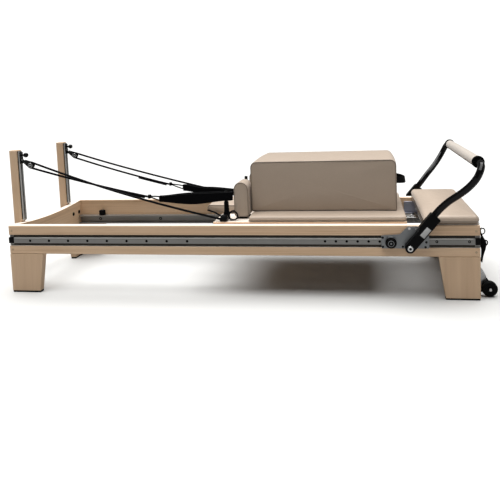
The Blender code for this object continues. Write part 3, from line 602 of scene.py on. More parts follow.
def stitches(name, paths, body):
    """A row of short thread stitches along each path."""
    spacing, length, radius = 0.007, 0.0045, 0.0005
    bm = bmesh.new()
    for path in paths:
        left = 0.0
        for a, b in zip(path, path[1:] + path[:1]):
            step = b - a
            size = step.length
            if size < 1e-7:
                continue
            heading = step / size
            while left < size:
                centre = a + heading * left
                ends = [centre - heading * length / 2, centre, centre + heading * length / 2]
                sweep(bm, ends, circle(radius, 5), Vector((0.3, 0.2, 1)))
                left += spacing
            left -= size
    obj = add(name, bm, THREAD, body, sharp=60.0)


def soften(names, width, segments=2):
    """Rounds a CAD node's edges with modifiers, which leave its own mesh alone."""
    for name in names:
        obj = NODES[name]
        weld = obj.modifiers.new("weld", "WELD")
        weld.merge_threshold = 0.00002
        bevel = obj.modifiers.new("edges", "BEVEL")
        bevel.width = width
        bevel.segments = segments
        bevel.limit_method = "ANGLE"
        bevel.angle_limit = radians(50)


def paint(finish, *names):
    for name in names:
        NODES[name].data.materials.clear()
        NODES[name].data.materials.append(finish)


def both(*stems):
    return [f"{stem}_{side}" for stem in stems for side, _ in SIDES]


def corners_of(stem):
    return [f"{stem}_{end}_{side}" for end in ("head", "foot") for side, _ in SIDES]


def y_range(sign, low, high):
    """A span of Y on one side, from distances out from the middle."""
    return (low, high) if sign > 0 else (-high, -low)


def blocks(name, sign, finish, *boxes, body="root"):
    """A piece of rounded blocks: spans along the bed, out from the middle and up, then radius and steps."""
    bm = bmesh.new()
    for start, end, inner, outer, low, high, radius, steps in boxes:
        near, far = y_range(sign, inner, outer)
        soft_block(bm, (along(start), near, low), (along(end), far, high), radius, steps)
    add(name, bm, finish, body)


# ---------------------------------------------------------------- the CAD nodes that stay


def dress_frame():
    paint(WOOD["x"], *both("side_beam"))
    paint(PALE_WOOD_PAINTED_LIGHT, "carriage_board")
    paint(WOOD["y"], "head_end_board", "foot_end_board")
    paint(WOOD["z"], *corners_of("leg"), *both("riser_post"))
    paint(RAIL, *both("outer_rail", "inner_rail"))
    paint(RAIL_Z_METAL, *both("riser_channel"))
    paint(PLATE, *both("footbar_plate"))
    paint(STEEL, "carriage_frame", "spring_bar", *both("wheel_bracket"))
    paint(BLACK_STEEL, *both("pulley_block"), "footbar_tube")
    paint(BLACK_PLASTIC, *both("pulley_sheave", "riser_knob", "rope_peg", "pop_pin", "footbar_sleeve"))
    paint(BLACK_PLASTIC, *corners_of("carriage_roller"))
    paint(BLACK_RUBBER, *corners_of("foot_pad"), *both("transport_wheel"))
    soften([*corners_of("leg"), "head_end_board"], 0.0022)
    soften(corners_of("foot_pad"), 0.0012)
    soften(both("footbar_plate"), 0.0008, 1)


def hole(bm, centre, axis, radius):
    """A dark disc of painted shade that stands in for a bored hole."""
    lathe(bm, [(0.0, 0.0004), (radius, 0.0004), (radius + 0.0006, 0.0), (0.0, 0.0)], centre, axis, 16)


def rail_fittings(side, sign):
    """End caps and fillers, shadow lines, a ridge with a painted highlight, screws, and index holes as dark discs
    of painted shade, on one outer rail.
    """
    filler = (HALF_WIDTH - 0.0135, HALF_WIDTH - 0.0085, RAIL_Z - 0.0282, RAIL_Z + 0.0282, 0.001, 2)
    cap = (HALF_WIDTH - 0.008, HALF_WIDTH + 0.0016, RAIL_Z - 0.015, RAIL_Z + 0.015, 0.0018, 3)
    inner = LENGTH - 0.0216
    caps = (-0.0012, 0.028, *cap), (inner, LENGTH + 0.0012, *cap)
    blocks(f"rail_end_caps_{side}", sign, BLACK_PLASTIC, *caps)
    fillers = (-0.0006, 0.0216, *filler), (inner, LENGTH + 0.0006, *filler)
    blocks(f"rail_end_fillers_{side}", sign, RAIL, *fillers)
    groove = (0.0222, LENGTH - 0.0222, HALF_WIDTH - 0.0087, HALF_WIDTH - 0.0076)
    face = (0.03, LENGTH - 0.03, HALF_WIDTH + 0.0003, HALF_WIDTH + 0.0008)
    below = (*groove, RAIL_Z - 0.0262, RAIL_Z - 0.0163, 0.0002, 1)
    above = (*groove, RAIL_Z + 0.0163, RAIL_Z + 0.028, 0.0002, 1)
    under_ridge = (*face, RAIL_Z + 0.0072, RAIL_Z + 0.0082, 0.0002, 1)
    blocks(f"rail_shadow_lines_{side}", sign, LINE_DARK, below, above, under_ridge)
    # Painted highlight: a pale strip along the ridge.
    blocks(f"rail_ridge_painted_highlight_{side}", sign, RIDGE_PAINTED_HIGHLIGHT, (*face, RAIL_Z + 0.0084, RAIL_Z + 0.015, 0.0002, 1))

    dots = bmesh.new()
    y = sign * (HALF_WIDTH + 0.0005)
    for i in range(9):
        hole(dots, (along(0.1166 + 0.103 * i), y, RAIL_Z - 0.002), OUT[sign], 0.0058)
    for distance in (2.111, 2.253):
        flat_screw(dots, (along(distance), y, RAIL_Z), OUT[sign], 0.0064)
    for i in range(1, 7):
        hole(dots, (along(PIN_D - 0.05 * i), y, RAIL_Z), OUT[sign], 0.0052)
    add(f"rail_holes_{side}", dots, BLACK_AND_HOLE_SHADE)


def frame_fittings(side, sign):
    """Bolts, plugs, dark riser slot strips of painted shade, carriage stops, inner track, gap bar and spring bar
    cover on one side.
    """
    dark = bmesh.new()
    for y in (0.216, 0.28):
        bolt_head(dark, (along(0.035), sign * y, 0.276), "+x", 0.011, 0.0026)
    for i in range(5):
        bolt_head(dark, (along(0.165 + 0.39 * i), sign * 0.3005, 0.228), OUT[-sign], 0.0095, 0.003)
    add(f"frame_bolts_{side}", dark, BLACK_AND_HOLE_SHADE)
    bright = bmesh.new()
    middle = sign * RISER_Y
    for z in (0.245, 0.31):
        bolt_head(bright, (HEAD_FACE - 0.0373, middle, z), "-x", 0.007, 0.0045)
    for z in (0.362, 0.52, 0.708):
        flat_screw(bright, (HEAD_FACE + 0.0088, middle, z), "+x", 0.0036)
    add(f"riser_bolts_{side}", bright, BRIGHT)
    # Painted shade: dark strips stand in for the shade inside the riser channel's slot.
    slot = bmesh.new()
    for low, high in ((-0.005, 0.005), (-0.0142, -0.0132), (0.0132, 0.0142)):
        start = (HEAD_FACE + 0.006, middle + low, 0.352)
        soft_block(slot, start, (HEAD_FACE + 0.0098, middle + high, 0.712), 0.0004, 1)
    add(f"riser_slot_painted_shade_{side}", slot, BLACK_AND_HOLE_SHADE)

    plugs = bmesh.new()
    profile = mm((0, 0.6), (5.5, 0.6), (6, 0.2), (6, -1), (0, -1))
    for x in (along(0.0175), along(LENGTH - 0.0175)):
        for z in (0.222, 0.318):
            lathe(plugs, profile, (x, sign * HALF_WIDTH, z), OUT[sign], 18)
    add(f"beam_plugs_{side}", plugs, WOOD["y"])

    stops = [(d, d + 0.03, 0.2745, 0.3005, 0.2533, 0.285, 0.003, 3) for d in (0.17, 2.2)]
    blocks(f"carriage_stops_{side}", sign, BLACK_RUBBER, *stops)
    track = (0.04, LENGTH - 0.04, 0.2732, 0.2746, 0.2522, 0.2536, 0.0004, 2)
    blocks(f"inner_rail_track_{side}", sign, BRIGHT, track)
    blocks(f"gap_bar_{side}", sign, BRIGHT, (1.9925, 2.06, 0.0, 0.028, 0.305, 0.308, 0.001, 3))
    upright = (2.012, 2.094, 0.2915, 0.2985, 0.2585, 0.3235, 0.0015, 3)
    ledge = (2.013, 2.064, 0.274, 0.293, 0.2585, 0.2625, 0.001, 3)
    blocks(f"spring_bar_cover_{side}", sign, BLUE_STEEL, upright, ledge)


def wheel_fittings(side, sign):
    """A hub and nut for one transport wheel, its dark housing and the light gusset above it."""
    centre = Vector((along(2.348), sign * 0.2885, 0.038))
    hub = bmesh.new()
    profile = mm((5.6, 0), (21.5, 0), (21.5, 0.8), (19, 1.6), (13, 1.6), (11, 0.5), (6.2, 0.5), (5.6, 0))
    lathe(hub, profile, centre + sign * 0.013 * ACROSS, OUT[sign], 28)
    add(f"wheel_hub_{side}", hub, BLACK_PLASTIC, f"wheel_{side}")
    nut = bmesh.new()
    profile = mm((0, 0), (6.8, 0), (6.8, 4), (6, 4.6), (0, 4.6))
    lathe(nut, profile, centre + sign * 0.018 * ACROSS, OUT[sign], 18, (1, 2, 3))
    for z in (0.1, 0.136):
        bolt_head(nut, (FOOT_FACE + 0.0043, sign * 0.2875, z), "+x", 0.0055, 0.0035)
    add(f"wheel_nuts_{side}", nut, BRIGHT)

    housing = bmesh.new()
    lobe = [(FOOT_FACE + 0.0005, 0.016), (along(2.33), 0.012), (along(2.352), 0.016), (along(2.364), 0.034)]
    lobe += [(along(2.358), 0.058), (along(2.338), 0.084), (FOOT_FACE + 0.0005, 0.092)]
    plate_shape(housing, lobe, *y_range(sign, 0.266, 0.269), 0.0008)
    add(f"wheel_housing_{side}", housing, BLACK_PLASTIC)
    gusset = bmesh.new()
    face = FOOT_FACE + 0.0045
    shape = [(face, 0.088), (along(2.338), 0.088), (along(2.326), 0.112), (face, 0.148)]
    plate_shape(gusset, shape, *y_range(sign, 0.2762, 0.2785), 0.0006)
    add(f"wheel_gusset_{side}", gusset, STEEL)


# ---------------------------------------------------------------- upholstery


def build_sitting_box():
    left, right = along(1.2325), along(1.9475)
    low, high = 0.3787, 0.627
    corners = [(left, low, 0.007), (right, low, 0.007), (right, high, 0.03), (left, high, 0.03)]
    outline = rounded(corners, 0.016, 8)
    box = cushion("sitting_box_cover", outline, "y", (-0.1855, 0.2215), 0.009, (0.004, 0.004), "sitting_box",
                  bulge=0.0045, wrinkle=0.0009, seed=3.1, wall=12)
    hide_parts("sitting_box")
    paths = [rim_path(outline, "y", y, 0.0022) for y in (-0.1845, 0.2205)]
    welts("sitting_box_piping", paths, 0.0021, "sitting_box", ACROSS)
    rows = [rim_path(outline, "y", y, -0.0006) for y in (-0.1765, 0.2125)]
    stitches("sitting_box_stitches", rows, "sitting_box")
    # Painted shadow: a black strip under the box stands in for the shadow gap between the box and the pad.
    base = bmesh.new()
    soft_block(base, (left + 0.004, -0.1868, low - 0.0004), (right - 0.004, 0.217, low + 0.0034), 0.001, 2)
    add("sitting_box_painted_shadow_base", base, NEOPRENE, "sitting_box")

    for name, x, outward, half, reach, z, drop in (
        ("head", left, -1, 0.085, 0.028, 0.532, 0.004), ("foot", right, 1, 0.066, 0.049, 0.508, 0.006),
    ):
        bm = bmesh.new()
        points = []
        for i in range(41):
            t = i / 40
            bow = sin(pi * t) ** 0.55
            out = outward * (0.003 + reach * bow)
            points.append(Vector((x + out, -half + 2 * half * t, z - drop * bow**1.5)))
        sweep(bm, points, oval(0.016, 0.0016, 4.0, 12), Vector((outward, 0, 0)), pitch=0.004)
        for y in (-half - 0.004, half + 0.004):
            patch, reach = Vector((x + outward * 0.0016, y, z)), Vector((0.0014, 0.014, 0.0163))
            soft_block(bm, patch - reach, patch + reach, 0.0008, 2)
        handle = add(f"sitting_box_handle_{name}", bm, WEBBING, "sitting_box", sharp=60)


def build_carriage_pad():
    left, right = along(1.2365), along(1.9835)
    half = 0.2985
    corner = 0.016
    corners = [(left, -half, corner), (right, -half, corner), (right, half, corner), (left, half, corner)]
    outline = rounded(corners, 0.02, 5)
    pad = cushion("carriage_pad_cover", outline, "z", (0.3526, 0.3775), 0.0118, (0.0, 0.0022), "carriage",
                  bulge=0.0006, wrinkle=0.0006, seed=7.7, wall=4)
    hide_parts("carriage_pad")
    welts("carriage_pad_piping", [rim_path(outline, "z", 0.3545, 0.0004)], 0.0016, "carriage")


def build_foot_platform():
    left, right = along(2.0565), FOOT_FACE
    half = HALF_WIDTH
    corners = [(left, -half, 0.014), (right, -half, 0.024), (right, half, 0.03), (left, half, 0.016)]
    outline = rounded(corners, 0.018, 7)
    ends = (FRAME_TOP + 0.0004, 0.388)
    pad = cushion("foot_platform_cover", outline, "z", ends, 0.0205, (0.0, 0.0075), "root",
                  bulge=0.001, wrinkle=0.0006, seed=1.9, wall=4)
    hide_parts("foot_platform_pad")
    welts("foot_platform_piping", [rim_path(outline, "z", FRAME_TOP + 0.003, 0.0004)], 0.0016, "root")


def build_shoulder_rest(side, sign):
    left, right, low, high = along(1.1565), along(1.2265), 0.3632, 0.5335
    corners = [(left, low, 0.014), (right, low, 0.014), (right, high, 0.0345), (left, high, 0.0345)]
    outline = rounded(corners, 0.01, 10)
    near, far = ends = y_range(sign, 0.1315, 0.2385)
    pad = cushion(f"shoulder_rest_cover_{side}", outline, "y", ends, 0.007, (0.0035, 0.0035), "carriage",
                  bulge=0.0012, wrinkle=0.0006, seed=5.0 + sign, wall=7)
    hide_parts(f"shoulder_rest_{side}")
    paths = [rim_path(outline, "y", y, 0.0016) for y in (near + 0.0008, far - 0.0008)]
    welts(f"shoulder_rest_piping_{side}", paths, 0.0018, "carriage", ACROSS)
    rows = [rim_path(outline, "y", y, -0.0006) for y in (near + 0.008, far - 0.008)]
    stitches(f"shoulder_rest_stitches_{side}", rows, "carriage")

    post = (1.1765, 1.2065, 0.15, 0.22, 0.354, 0.37, 0.002, 3)
    flange = (1.1585, 1.2245, 0.146, 0.224, 0.3523, 0.355, 0.001, 3)
    blocks(f"shoulder_rest_post_{side}", sign, BLACK_STEEL, post, flange, body="carriage")
    bolts = bmesh.new()
    for distance in (1.1655, 1.2175):
        for y in y_range(sign, 0.16, 0.21):
            bolt_head(bolts, (along(distance), y, 0.355), "+z", 0.0042, 0.003)
    add(f"shoulder_rest_bolts_{side}", bolts, BRIGHT, "carriage")


def build_headrest():
    right, low, half = along(1.194), 0.3565, 0.1205
    corners = [(along(0.997), low, 0.01), (right, low, 0.006), (right, 0.3955, 0.01)]
    corners += [(along(0.992), 0.4, 0.013), (along(0.98), 0.383, 0.01)]
    outline = rounded(corners, 0.01, 6)
    pad = cushion("headrest_cover", outline, "y", (-half, half), 0.012, (0.0015, 0.0015), "headrest",
                  bulge=0.0012, wrinkle=0.0006, seed=9.4, wall=10)
    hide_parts("headrest")
    paths = [rim_path(outline, "y", sign * (half - 0.003), 0.003) for sign in (-1, 1)]
    welts("headrest_piping", paths, 0.0018, "headrest", ACROSS)

    bm = bmesh.new()
    for y in (-0.055, 0.055):
        soft_block(bm, (along(1.02), y - 0.012, 0.3532), (along(1.2), y + 0.012, 0.3562), 0.0008, 2)
        lathe(bm, mm((0, -14), (3.6, -14), (3.6, 14), (0, 14)), (along(1.205), y, 0.3562), "+y", 14)
    add("headrest_bracket", bm, BLACK_STEEL, "headrest")


# ---------------------------------------------------------------- ropes, loops and springs

SHEAVE_D, SHEAVE_Z, SHEAVE_GROOVE = 0.07, 0.637, 0.0095
ROPE_RADIUS = 0.0045
# For each hand loop: where its knot is, then the middle and half height of its band at its start, its widest
# and the peg
LOOPS = {
    "front": {"knot": (0.7175, 0.467), "start": (0.772, 0.456, 0.0145), "wide": (0.95, 0.4565, 0.0265),
              "peg": (1.129, 0.467, 0.02)},
    "rear": {"knot": (0.656, 0.451), "start": (0.735, 0.429, 0.018), "wide": (0.88, 0.411, 0.0175),
             "peg": (1.129, 0.3935, 0.0148)},
}
LOOP_OPENS = 0.1
KNOT_RADIUS = 0.01
LOOP_Y = 0.232
LOOP_END = 1.15
CLEAT_START = 1.094


def sagging(start, end, sag, steps):
    """A path between two points that hangs by a sag at its middle."""
    shares = [i / steps for i in range(steps + 1)]
    return [start.lerp(end, t) - Vector((0, 0, 4 * sag * t * (1 - t))) for t in shares]


def cord(name, points):
    """A length of rope, a little thicker than its CAD rod."""
    bm = bmesh.new()
    sweep(bm, points, circle(ROPE_RADIUS + 0.0009, 10), pitch=0.009)
    obj = add(name, bm, CORD, sharp=60)
    return obj


def build_rope(side, sign):
    """The rope in three pieces: to the cleat, round the sheave and to the hand loop, with its doubled end."""
    wrap = SHEAVE_GROOVE + ROPE_RADIUS + 0.0003
    centre = Vector((along(SHEAVE_D), sign * RISER_Y, SHEAVE_Z))
    top_lean, low_lean = radians(73), radians(-104)
    around = []
    for i in range(25):
        a = top_lean + (tau + low_lean - top_lean) * i / 24
        around.append(centre + wrap * Vector((cos(a), 0, sin(a))))
    cleat = Vector((along(CLEAT_START - 0.0012), sign * 0.285, 0.364))
    loop = LOOPS[side]
    knot = Vector((along(loop["knot"][0]) - KNOT_RADIUS - 0.0005, sign * LOOP_Y, loop["knot"][1]))
    turn = cord(f"rope_turn_{side}", around)
    run = sagging(cleat, around[0], 0.016, 180)
    run = [p + sign * 0.01 * sin(pi * i / 180) ** 2 * ACROSS for i, p in enumerate(run)]
    upper = cord(f"rope_run_{side}", run)
    hanging = sagging(around[-1], knot, 0.006, 120)
    lower = cord(f"rope_handle_run_{side}", hanging)
    for piece in (turn, upper, lower):
        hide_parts(f"rope_{side}")
    tail = cord(f"rope_tail_{side}", [p + Vector((0, -sign * 0.001, -0.007)) for p in hanging[82:118]])
    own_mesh(upper)
    for piece in (lower, tail):
        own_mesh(piece)


def band_at(loop, x):
    """The middle and half height of a loop's band at a place along the bed."""
    distance = x - HEAD_FACE
    places = (loop["start"], loop["wide"], loop["peg"])
    first, last = places[:2] if distance < places[1][0] else places[1:]
    t = min(1.0, (distance - first[0]) / (last[0] - first[0]))
    t = t * t * (3 - 2 * t)
    return [first[i] + (last[i] - first[i]) * t for i in (1, 2)]


def build_loop_handle(side, sign):
    """A padded strap folded round the peg, with its two ends sewn to a pair of cords and a knot."""
    loop = LOOPS[side]
    centre = sign * LOOP_Y
    start, radius = along(loop["start"][0]), 0.0165
    opened = start + LOOP_OPENS
    turn = along(LOOP_END) - 0.021
    plan = []
    for i in range(22):
        t = i / 21
        ease = t * t * (3 - 2 * t)
        plan.append((start + (opened - start) * t, 0.0042 + (radius - 0.0042) * ease))
    steps = 16
    plan += [(opened + (turn - opened) * i / steps, radius) for i in range(1, steps + 1)]
    angles = [radians(a) for a in range(10, 180, 10)]
    bend = [(turn + radius * sin(a), radius * cos(a)) for a in angles]
    whole = plan + bend + [(x, -y) for x, y in reversed(plan)]
    points = [Vector((x, centre + y, band_at(loop, x)[0])) for x, y in whole]
    total = len(points) - 1
    ends = 18 / total
    full = 0.025

    def size(t):
        rise = min(1.0, min(t, 1 - t) / ends)
        return (0.72 + 0.28 * rise, band_at(loop, points[round(t * total)].x)[1] / full)

    bm = bmesh.new()
    sweep(bm, points, oval(0.004, full, 3.2, 18), size=size, pitch=0.01)
    for v in bm.verts:
        v.co += 0.0007 * Vector((0, noise.noise(v.co * 40.0), noise.noise(v.co * 40.0 + Vector((5, 5, 5)))))
    band = add(f"loop_band_{side}", bm, NEOPRENE, "carriage", sharp=180, subdivide=1)
    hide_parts(f"loop_handle_{side}")

    trim = bmesh.new()
    for edge in (-1, 1):
        path = [p + edge * (full - 0.0012) * size(i / total)[1] * UP for i, p in enumerate(points)]
        sweep(trim, path, oval(0.0046, 0.002, 2.4, 10), pitch=0.004)
    middle = loop["start"][1]
    for edge in (-1, 1):
        y = centre + edge * 0.002
        low, high = (start - 0.004, y - 0.0016, middle - 0.013), (start + 0.022, y + 0.0016, middle + 0.013)
        soft_block(trim, low, high, 0.0008, 2)
    binding = add(f"loop_binding_{side}", trim, WEBBING, "carriage", sharp=60)

    knot = Vector((along(loop["knot"][0]), centre, loop["knot"][1]))
    bm = bmesh.new()
    for edge in (-1, 1):
        tip = Vector((start + 0.004, centre, middle + edge * 0.0095))
        bow = [knot.lerp(tip, t) + edge * 0.002 * sin(pi * t) * UP for t in (i / 14 for i in range(15))]
        sweep(bm, bow, circle(0.0036), pitch=0.006)
    for tilt, spin, wide in ((0.5, 0.0, 0.0076), (-0.6, 1.0, 0.0072), (1.3, 2.1, 0.0068)):
        turned = Matrix.Rotation(tilt, 3, "Y") @ Matrix.Rotation(spin, 3, "X")
        ring = []
        for i in range(18):
            a = tau * i / 18
            ring.append(knot + turned @ Vector((0.0016 * sin(2 * a), wide * cos(a), wide * sin(a))))
        sweep(bm, ring, circle(0.0046, 8), closed=True, pitch=0.006)
    cords = add(f"loop_knot_{side}", bm, CORD, "carriage", sharp=60)


def knob_cover(side, sign):
    """A round grip over the riser knob's ball."""
    bm = bmesh.new()
    rings = [(0.0127 * sin(a), 0.0127 * cos(a)) for a in (pi * i / 12 for i in range(13))]
    lathe(bm, rings, (along(0.044), sign * RISER_Y, 0.69), "+x", 22)
    add(f"riser_knob_cover_{side}", bm, BLACK_STEEL, f"knob_{side}")


def pulley_fittings(side, sign):
    """Bright cheek rings and pins of one pulley, and the swivel eye that holds it."""
    bm = bmesh.new()
    for outward in (-1, 1):
        face = (along(SHEAVE_D), sign * RISER_Y + outward * 0.0088, SHEAVE_Z)
        washer(bm, face, OUT[outward], 0.0102, 0.012, 0.0008)
        lathe(bm, mm((0, 0), (4.2, 0), (3.6, 1.6), (0, 2)), face, OUT[outward], 14)
    add(f"pulley_rings_{side}", bm, BRIGHT)
    eye = bmesh.new()
    centre = Vector((along(0.027), sign * (RISER_Y + 0.0046), 0.664))
    path = [centre + Vector((x, 0, z)) for x, z in circle(0.0058, 18)]
    sweep(eye, path, circle(0.0014), ACROSS, closed=True)
    add(f"pulley_eye_{side}", eye, BRIGHT)


def build_rope_tail(side, sign):
    """The rope's spare end, a short tail before the cleat and a coil behind it, with the cleat's cap and boot."""
    bm = bmesh.new()
    middle = Vector((along(1.1585), sign * 0.27, 0.378))
    points = []
    for i in range(57):
        a = tau * (i / 56 * 1.5 - 0.3)
        reach = 0.0218 + 0.0006 * sin(3 * a)
        points.append(middle + Vector((-reach * cos(a), sign * 0.0085 * (i / 56), -reach * sin(a))))
    sweep(bm, points, circle(0.0036, 10), ACROSS, pitch=0.009)
    tail = [(1.096, 0.372), (1.078, 0.385), (1.06, 0.3945), (1.042, 0.401), (1.028, 0.404)]
    ends = [Vector((along(d), sign * 0.268, z)) for d, z in tail]
    sweep(bm, ends, circle(0.004, 10), ACROSS, pitch=0.009)
    obj = add(f"rope_spare_{side}", bm, CORD, "carriage", sharp=60)

    cap = (1.0975, 1.129, 0.262, 0.296, 0.365, 0.383, 0.008, 4)
    blocks(f"cleat_cap_{side}", sign, BLACK_PLASTIC, cap, body="carriage")
    boot = bmesh.new()
    profile = mm((9.6, -14), (16.5, -14), (17.5, -11), (16.5, -4), (13.5, 3), (12.2, 12), (11.6, 50))
    profile += mm((9.6, 54), (9.6, -14))
    lathe(boot, profile, (along(1.115), sign * LOOP_Y, 0.386), "+z", 28)
    add(f"peg_boot_{side}", boot, BLACK_PLASTIC, "carriage")


def build_spare_strap():
    """A folded strap with two rings that hangs on the foot end board."""
    bm = bmesh.new()
    y = -0.296
    for d, z, across in ((2.3175, 0.307, 0.0115), (2.33, 0.253, 0.0105)):
        middle = Vector((along(d), y, z))
        ring = [middle + Vector((across * c, 0.004 * c, across * 1.15 * s)) for c, s in circle(1.0, 24)]
        sweep(bm, ring, circle(0.0028), ACROSS, closed=True, pitch=0.006)
    strap = [(2.306, 0.322), (2.309, 0.3), (2.315, 0.284), (2.318, 0.268), (2.3195, 0.252), (2.3205, 0.226),
             (2.316, 0.196), (2.312, 0.166)]
    points = []
    for (d0, z0), (d1, z1) in zip(strap, strap[1:]):
        points += [Vector((along(d0 + (d1 - d0) * i / 4), y, z0 + (z1 - z0) * i / 4)) for i in range(4)]
    points.append(Vector((along(strap[-1][0]), y, strap[-1][1])))

    def size(t):
        fat = exp(-(((t - 0.56) / 0.2) ** 2))
        return (1.0 + 0.2 * fat, 1.0 + 4.6 * fat if t < 0.98 else 0.8)

    sweep(bm, points, oval(0.015, 0.0026, 3.0, 14), Vector((1, 0, 0)), size=size, pitch=0.004)
    strap_piece = add("spare_strap", bm, WEBBING, "root", sharp=60)
    hook = bmesh.new()
    profile = mm((0, 0), (5, 0), (5, 10), (7.5, 11), (7.5, 13), (0, 13))
    lathe(hook, profile, (FOOT_FACE + 0.0002, y, 0.322), "+x", 16)
    add("strap_hook", hook, BRIGHT)


def build_springs():
    """Three coiled springs between the spring bar and the carriage, with plain hooks and end collars."""
    start, end = along(1.385), along(2.0717)
    z = 0.283
    coil, wire, pitch, sides = 0.0085, 0.0013, 0.0042, 9
    first, last = start + 0.03, end - 0.03
    count = int((last - first) / pitch) * sides
    for number, y in enumerate((-0.12, 0.0, 0.12), 1):
        bm = bmesh.new()
        points = []
        for i in range(count + 1):
            a = tau * i / sides
            points.append(Vector((first + (last - first) * i / count, y + coil * cos(a), z + coil * sin(a))))
        sweep(bm, points, circle(wire, 5), Vector((1, 0, 0)))
        for x0, x1 in ((start + 0.001, first + 0.004), (end - 0.001, last - 0.004)):
            sweep(bm, [Vector((x, y, z)) for x in (x0, (x0 + x1) / 2, x1)], circle(0.0035, 10))
            lathe(bm, mm((0, -3), (8.8, -3), (8.8, 3), (0, 3)), (x1, y, z), "+x", 16)
        spring = add(f"spring_coil_{number}", bm, STEEL, None, sharp=60)
        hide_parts(f"spring_{number}")
        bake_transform(spring)


# ---------------------------------------------------------------- footbar


def arm_place(distance, offset):
    """A place (x, z) on the footbar's arm: up it from its pivot, then square to it."""
    lean = radians(50)
    return (
        along(PIVOT_D) + distance * cos(lean) - offset * sin(lean),
        PIVOT_Z + distance * sin(lean) + offset * cos(lean),
    )


def footbar_fittings(side, sign):
    """Bolts and screws of one footbar plate, the blank label on its sleeve and its pin's collar and rings."""
    outward = OUT[sign]
    plate_face = sign * (HALF_WIDTH + 0.0105)
    bright = bmesh.new()
    for distance, z in ((PIVOT_D, 0.333), (2.021, 0.328)):
        flush_disc(bright, (along(distance), plate_face, z), outward, 0.0056)
    pivot = (along(PIVOT_D), sign * 0.3943, PIVOT_Z)
    washer(bright, pivot, outward, 0.006, 0.012, 0.002)
    add(f"footbar_plate_bolts_{side}", bright, BRIGHT, "footbar_carriage")
    dark = bmesh.new()
    bolt_head(dark, pivot, outward, 0.006, 0.0026)
    for distance, z in ((2.064, 0.27), (2.06, 0.247), (1.871, 0.291), (1.871, 0.249), (1.96, 0.249)):
        flush_disc(dark, (along(distance), plate_face, z), outward, 0.0056)
    add(f"footbar_plate_screws_{side}", dark, BLACK_STEEL, "footbar_carriage")

    label = (("border", LABEL_PRINT, 0.0, 0.0006), ("patch", LABEL, 0.0016, 0.0009))
    for name, finish, inset, depth in label:
        bm = bmesh.new()
        first, last, one, other = 0.073 + inset, 0.124 - inset, -0.018 + inset, 0.0075 - inset
        outline = [arm_place(*corner) for corner in ((first, one), (last, one), (last, other), (first, other))]
        plate_shape(bm, outline, *y_range(sign, 0.3887, 0.3891 + depth), 0.0002)
        add(f"footbar_label_{name}_{side}", bm, finish, "footbar")

    collar = bmesh.new()
    profile = mm((5, 2.8), (21.5, 2.8), (24.5, 4), (25.5, 6.5), (24.5, 9), (20.5, 10), (5, 10), (5, 2.8))
    lathe(collar, profile, (along(PIN_D), sign * 0.36, RAIL_Z), outward, 32)
    add(f"pop_pin_collar_{side}", collar, BLACK_PLASTIC, f"pin_{side}")
    rings = bmesh.new()
    washer(rings, (along(PIN_D), sign * 0.3783, RAIL_Z), outward, 0.012, 0.0142, 0.001)
    profile = mm((0, 0), (4.6, 0), (4, 1.4), (0, 1.8))
    lathe(rings, profile, (along(PIN_D), sign * 0.3785, RAIL_Z), outward, 16)
    add(f"pop_pin_rings_{side}", rings, PLATE, f"pin_{side}")


def build_grip():
    """A padded sleeve with a stitched seam underneath, between two black end discs."""
    low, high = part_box("footbar_grip")
    centre = Vector(((low.x + high.x) / 2, 0, (low.z + high.z) / 2))
    half = high.y
    bm = bmesh.new()
    rows, sides = 52, 28
    rings = []
    for i in range(rows + 1):
        t = -1 + 2 * i / rows
        y = t * (half - 0.0085)
        swell = 0.0236 - 0.0012 * abs(t) ** 8 - 0.0003 * cos(t * 9)
        ring = []
        for k in range(sides):
            a = tau * k / sides
            seam = 0.0011 * exp(-(((a - 4.1) / 0.1) ** 2))
            reach = swell - seam + 0.00025 * noise.noise(Vector((t * 14, cos(a) * 2, sin(a) * 2)))
            ring.append(bm.verts.new(centre + Vector((reach * cos(a), y, reach * sin(a)))))
        rings.append(ring)
    for end, sign in ((rings[0], -1), (rings[-1], 1)):
        inner = []
        for v in end:
            step = v.co - centre
            step.y = 0
            inner.append(bm.verts.new(centre + step * 0.7 + (v.co.y - centre.y + sign * 0.0012) * ACROSS))
        if sign < 0:
            rings.insert(0, inner)
        else:
            rings.append(inner)
    skin(bm, rings)
    grip = add("grip_sleeve", bm, CREAM, "footbar", sharp=180, subdivide=1)
    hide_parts("footbar_grip")
    seam = bmesh.new()
    lean = Vector((cos(4.05), 0, sin(4.05))) * 0.0232
    path = [centre + lean + half * (-0.97 + 1.94 * i / 40) * ACROSS for i in range(41)]
    sweep(seam, path, circle(0.0016))
    add("grip_seam", seam, NEOPRENE, "footbar")
    caps = bmesh.new()
    profile = mm((16, -7.5), (25, -7.5), (26.8, -6), (26.8, 3.5), (25, 5), (19, 5), (16, 3), (16, -7.5))
    for sign in (-1, 1):
        lathe(caps, profile, centre + sign * half * ACROSS, OUT[sign], 32)
    end_caps = add("grip_end_caps", caps, BLACK_RUBBER, "footbar")


# ---------------------------------------------------------------- stage


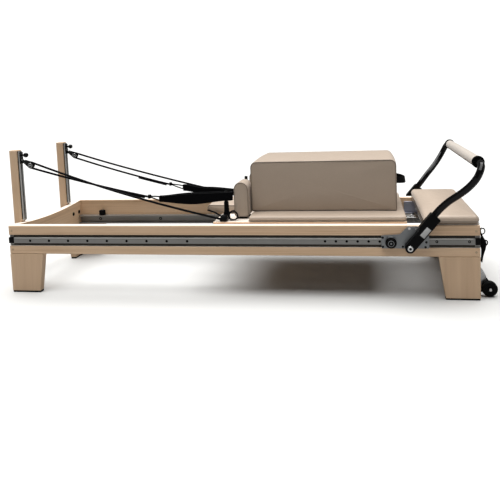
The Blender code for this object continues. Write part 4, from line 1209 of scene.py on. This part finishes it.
def stage():
    """A wide paper floor, an even world, a soft sun from above and a weak fill light in front."""
    bm = bmesh.new()
    verts = [bm.verts.new((x, y, 0.0)) for x, y in ((-60, -60), (60, -60), (60, 60), (-60, 60))]
    bm.faces.new(verts)
    mesh = bpy.data.meshes.new("studio_floor")
    bm.to_mesh(mesh)
    bm.free()
    floor = link("studio_floor", mesh)
    made = Surface("floor_paper", roughness=0.9, specular=0.1)
    camera_sees = made.node("ShaderNodeLightPath").outputs["Is Camera Ray"]
    made.set("Base Color", made.mix(camera_sees, (0.27, 0.27, 0.27), (0.58, 0.58, 0.57)))
    mesh.materials.append(made.material)

    world = bpy.data.worlds.new("studio")
    bpy.context.scene.world = world
    world.use_nodes = True
    tree = world.node_tree
    background = tree.nodes["Background"]
    path = tree.nodes.new("ShaderNodeLightPath")
    mix = tree.nodes.new("ShaderNodeMix")
    mix.inputs[2].default_value = 0.1
    mix.inputs[3].default_value = 1.1
    tree.links.new(path.outputs["Is Camera Ray"], mix.inputs[0])
    tree.links.new(mix.outputs[0], background.inputs["Strength"])
    background.inputs["Color"].default_value = (1, 1, 1, 1)

    key = bpy.data.lights.new("key", "SUN")
    key.energy = 6.2
    key.angle = radians(72)
    obj = link("key", key)
    obj.rotation_euler = Vector((0.12, -0.1, -1.0)).to_track_quat("-Z", "Y").to_euler()

    fill = bpy.data.lights.new("fill", "AREA")
    fill.shape = "RECTANGLE"
    fill.size, fill.size_y = 4.0, 2.5
    fill.energy = 8
    obj = link("fill", fill)
    obj.location = (1.5, -6.5, 2.6)
    obj.rotation_euler = (Vector((0.0, 0.0, 0.3)) - obj.location).to_track_quat("-Z", "Y").to_euler()


def camera():
    """The view from the front, a little towards the foot end, through a shifted lens."""
    yaw, pitch, roll = 0.1477, 0.0776, -0.0375
    place = Matrix.Translation((0.6261, -2.7893, 0.9648))
    forward = Vector((-sin(yaw) * cos(pitch), cos(yaw) * cos(pitch), -sin(pitch)))
    level = Vector((cos(yaw), sin(yaw), 0))
    upright = level.cross(forward)
    right = cos(roll) * level + sin(roll) * upright
    up = -sin(roll) * level + cos(roll) * upright
    data = bpy.data.cameras.new("camera")
    data.sensor_width = 36.0
    data.lens = 38.71
    data.shift_x = -0.07
    data.shift_y = -0.2309
    obj = link("camera", data)
    obj.matrix_world = place @ Matrix((right, up, -forward)).transposed().to_4x4()
    bpy.context.scene.camera = obj


camera()
stage()
dress_frame()
for side_name, side_sign in SIDES:
    rail_fittings(side_name, side_sign)
    frame_fittings(side_name, side_sign)
    wheel_fittings(side_name, side_sign)
    build_shoulder_rest(side_name, side_sign)
    build_rope(side_name, side_sign)
    build_loop_handle(side_name, side_sign)
    pulley_fittings(side_name, side_sign)
    knob_cover(side_name, side_sign)
    footbar_fittings(side_name, side_sign)
build_rope_tail("front", -1)
build_rope_tail("rear", 1)
build_spare_strap()
build_sitting_box()
build_carriage_pad()
build_foot_platform()
build_headrest()
build_springs()
build_grip()

bpy.context.scene.view_settings.view_transform = "Standard"
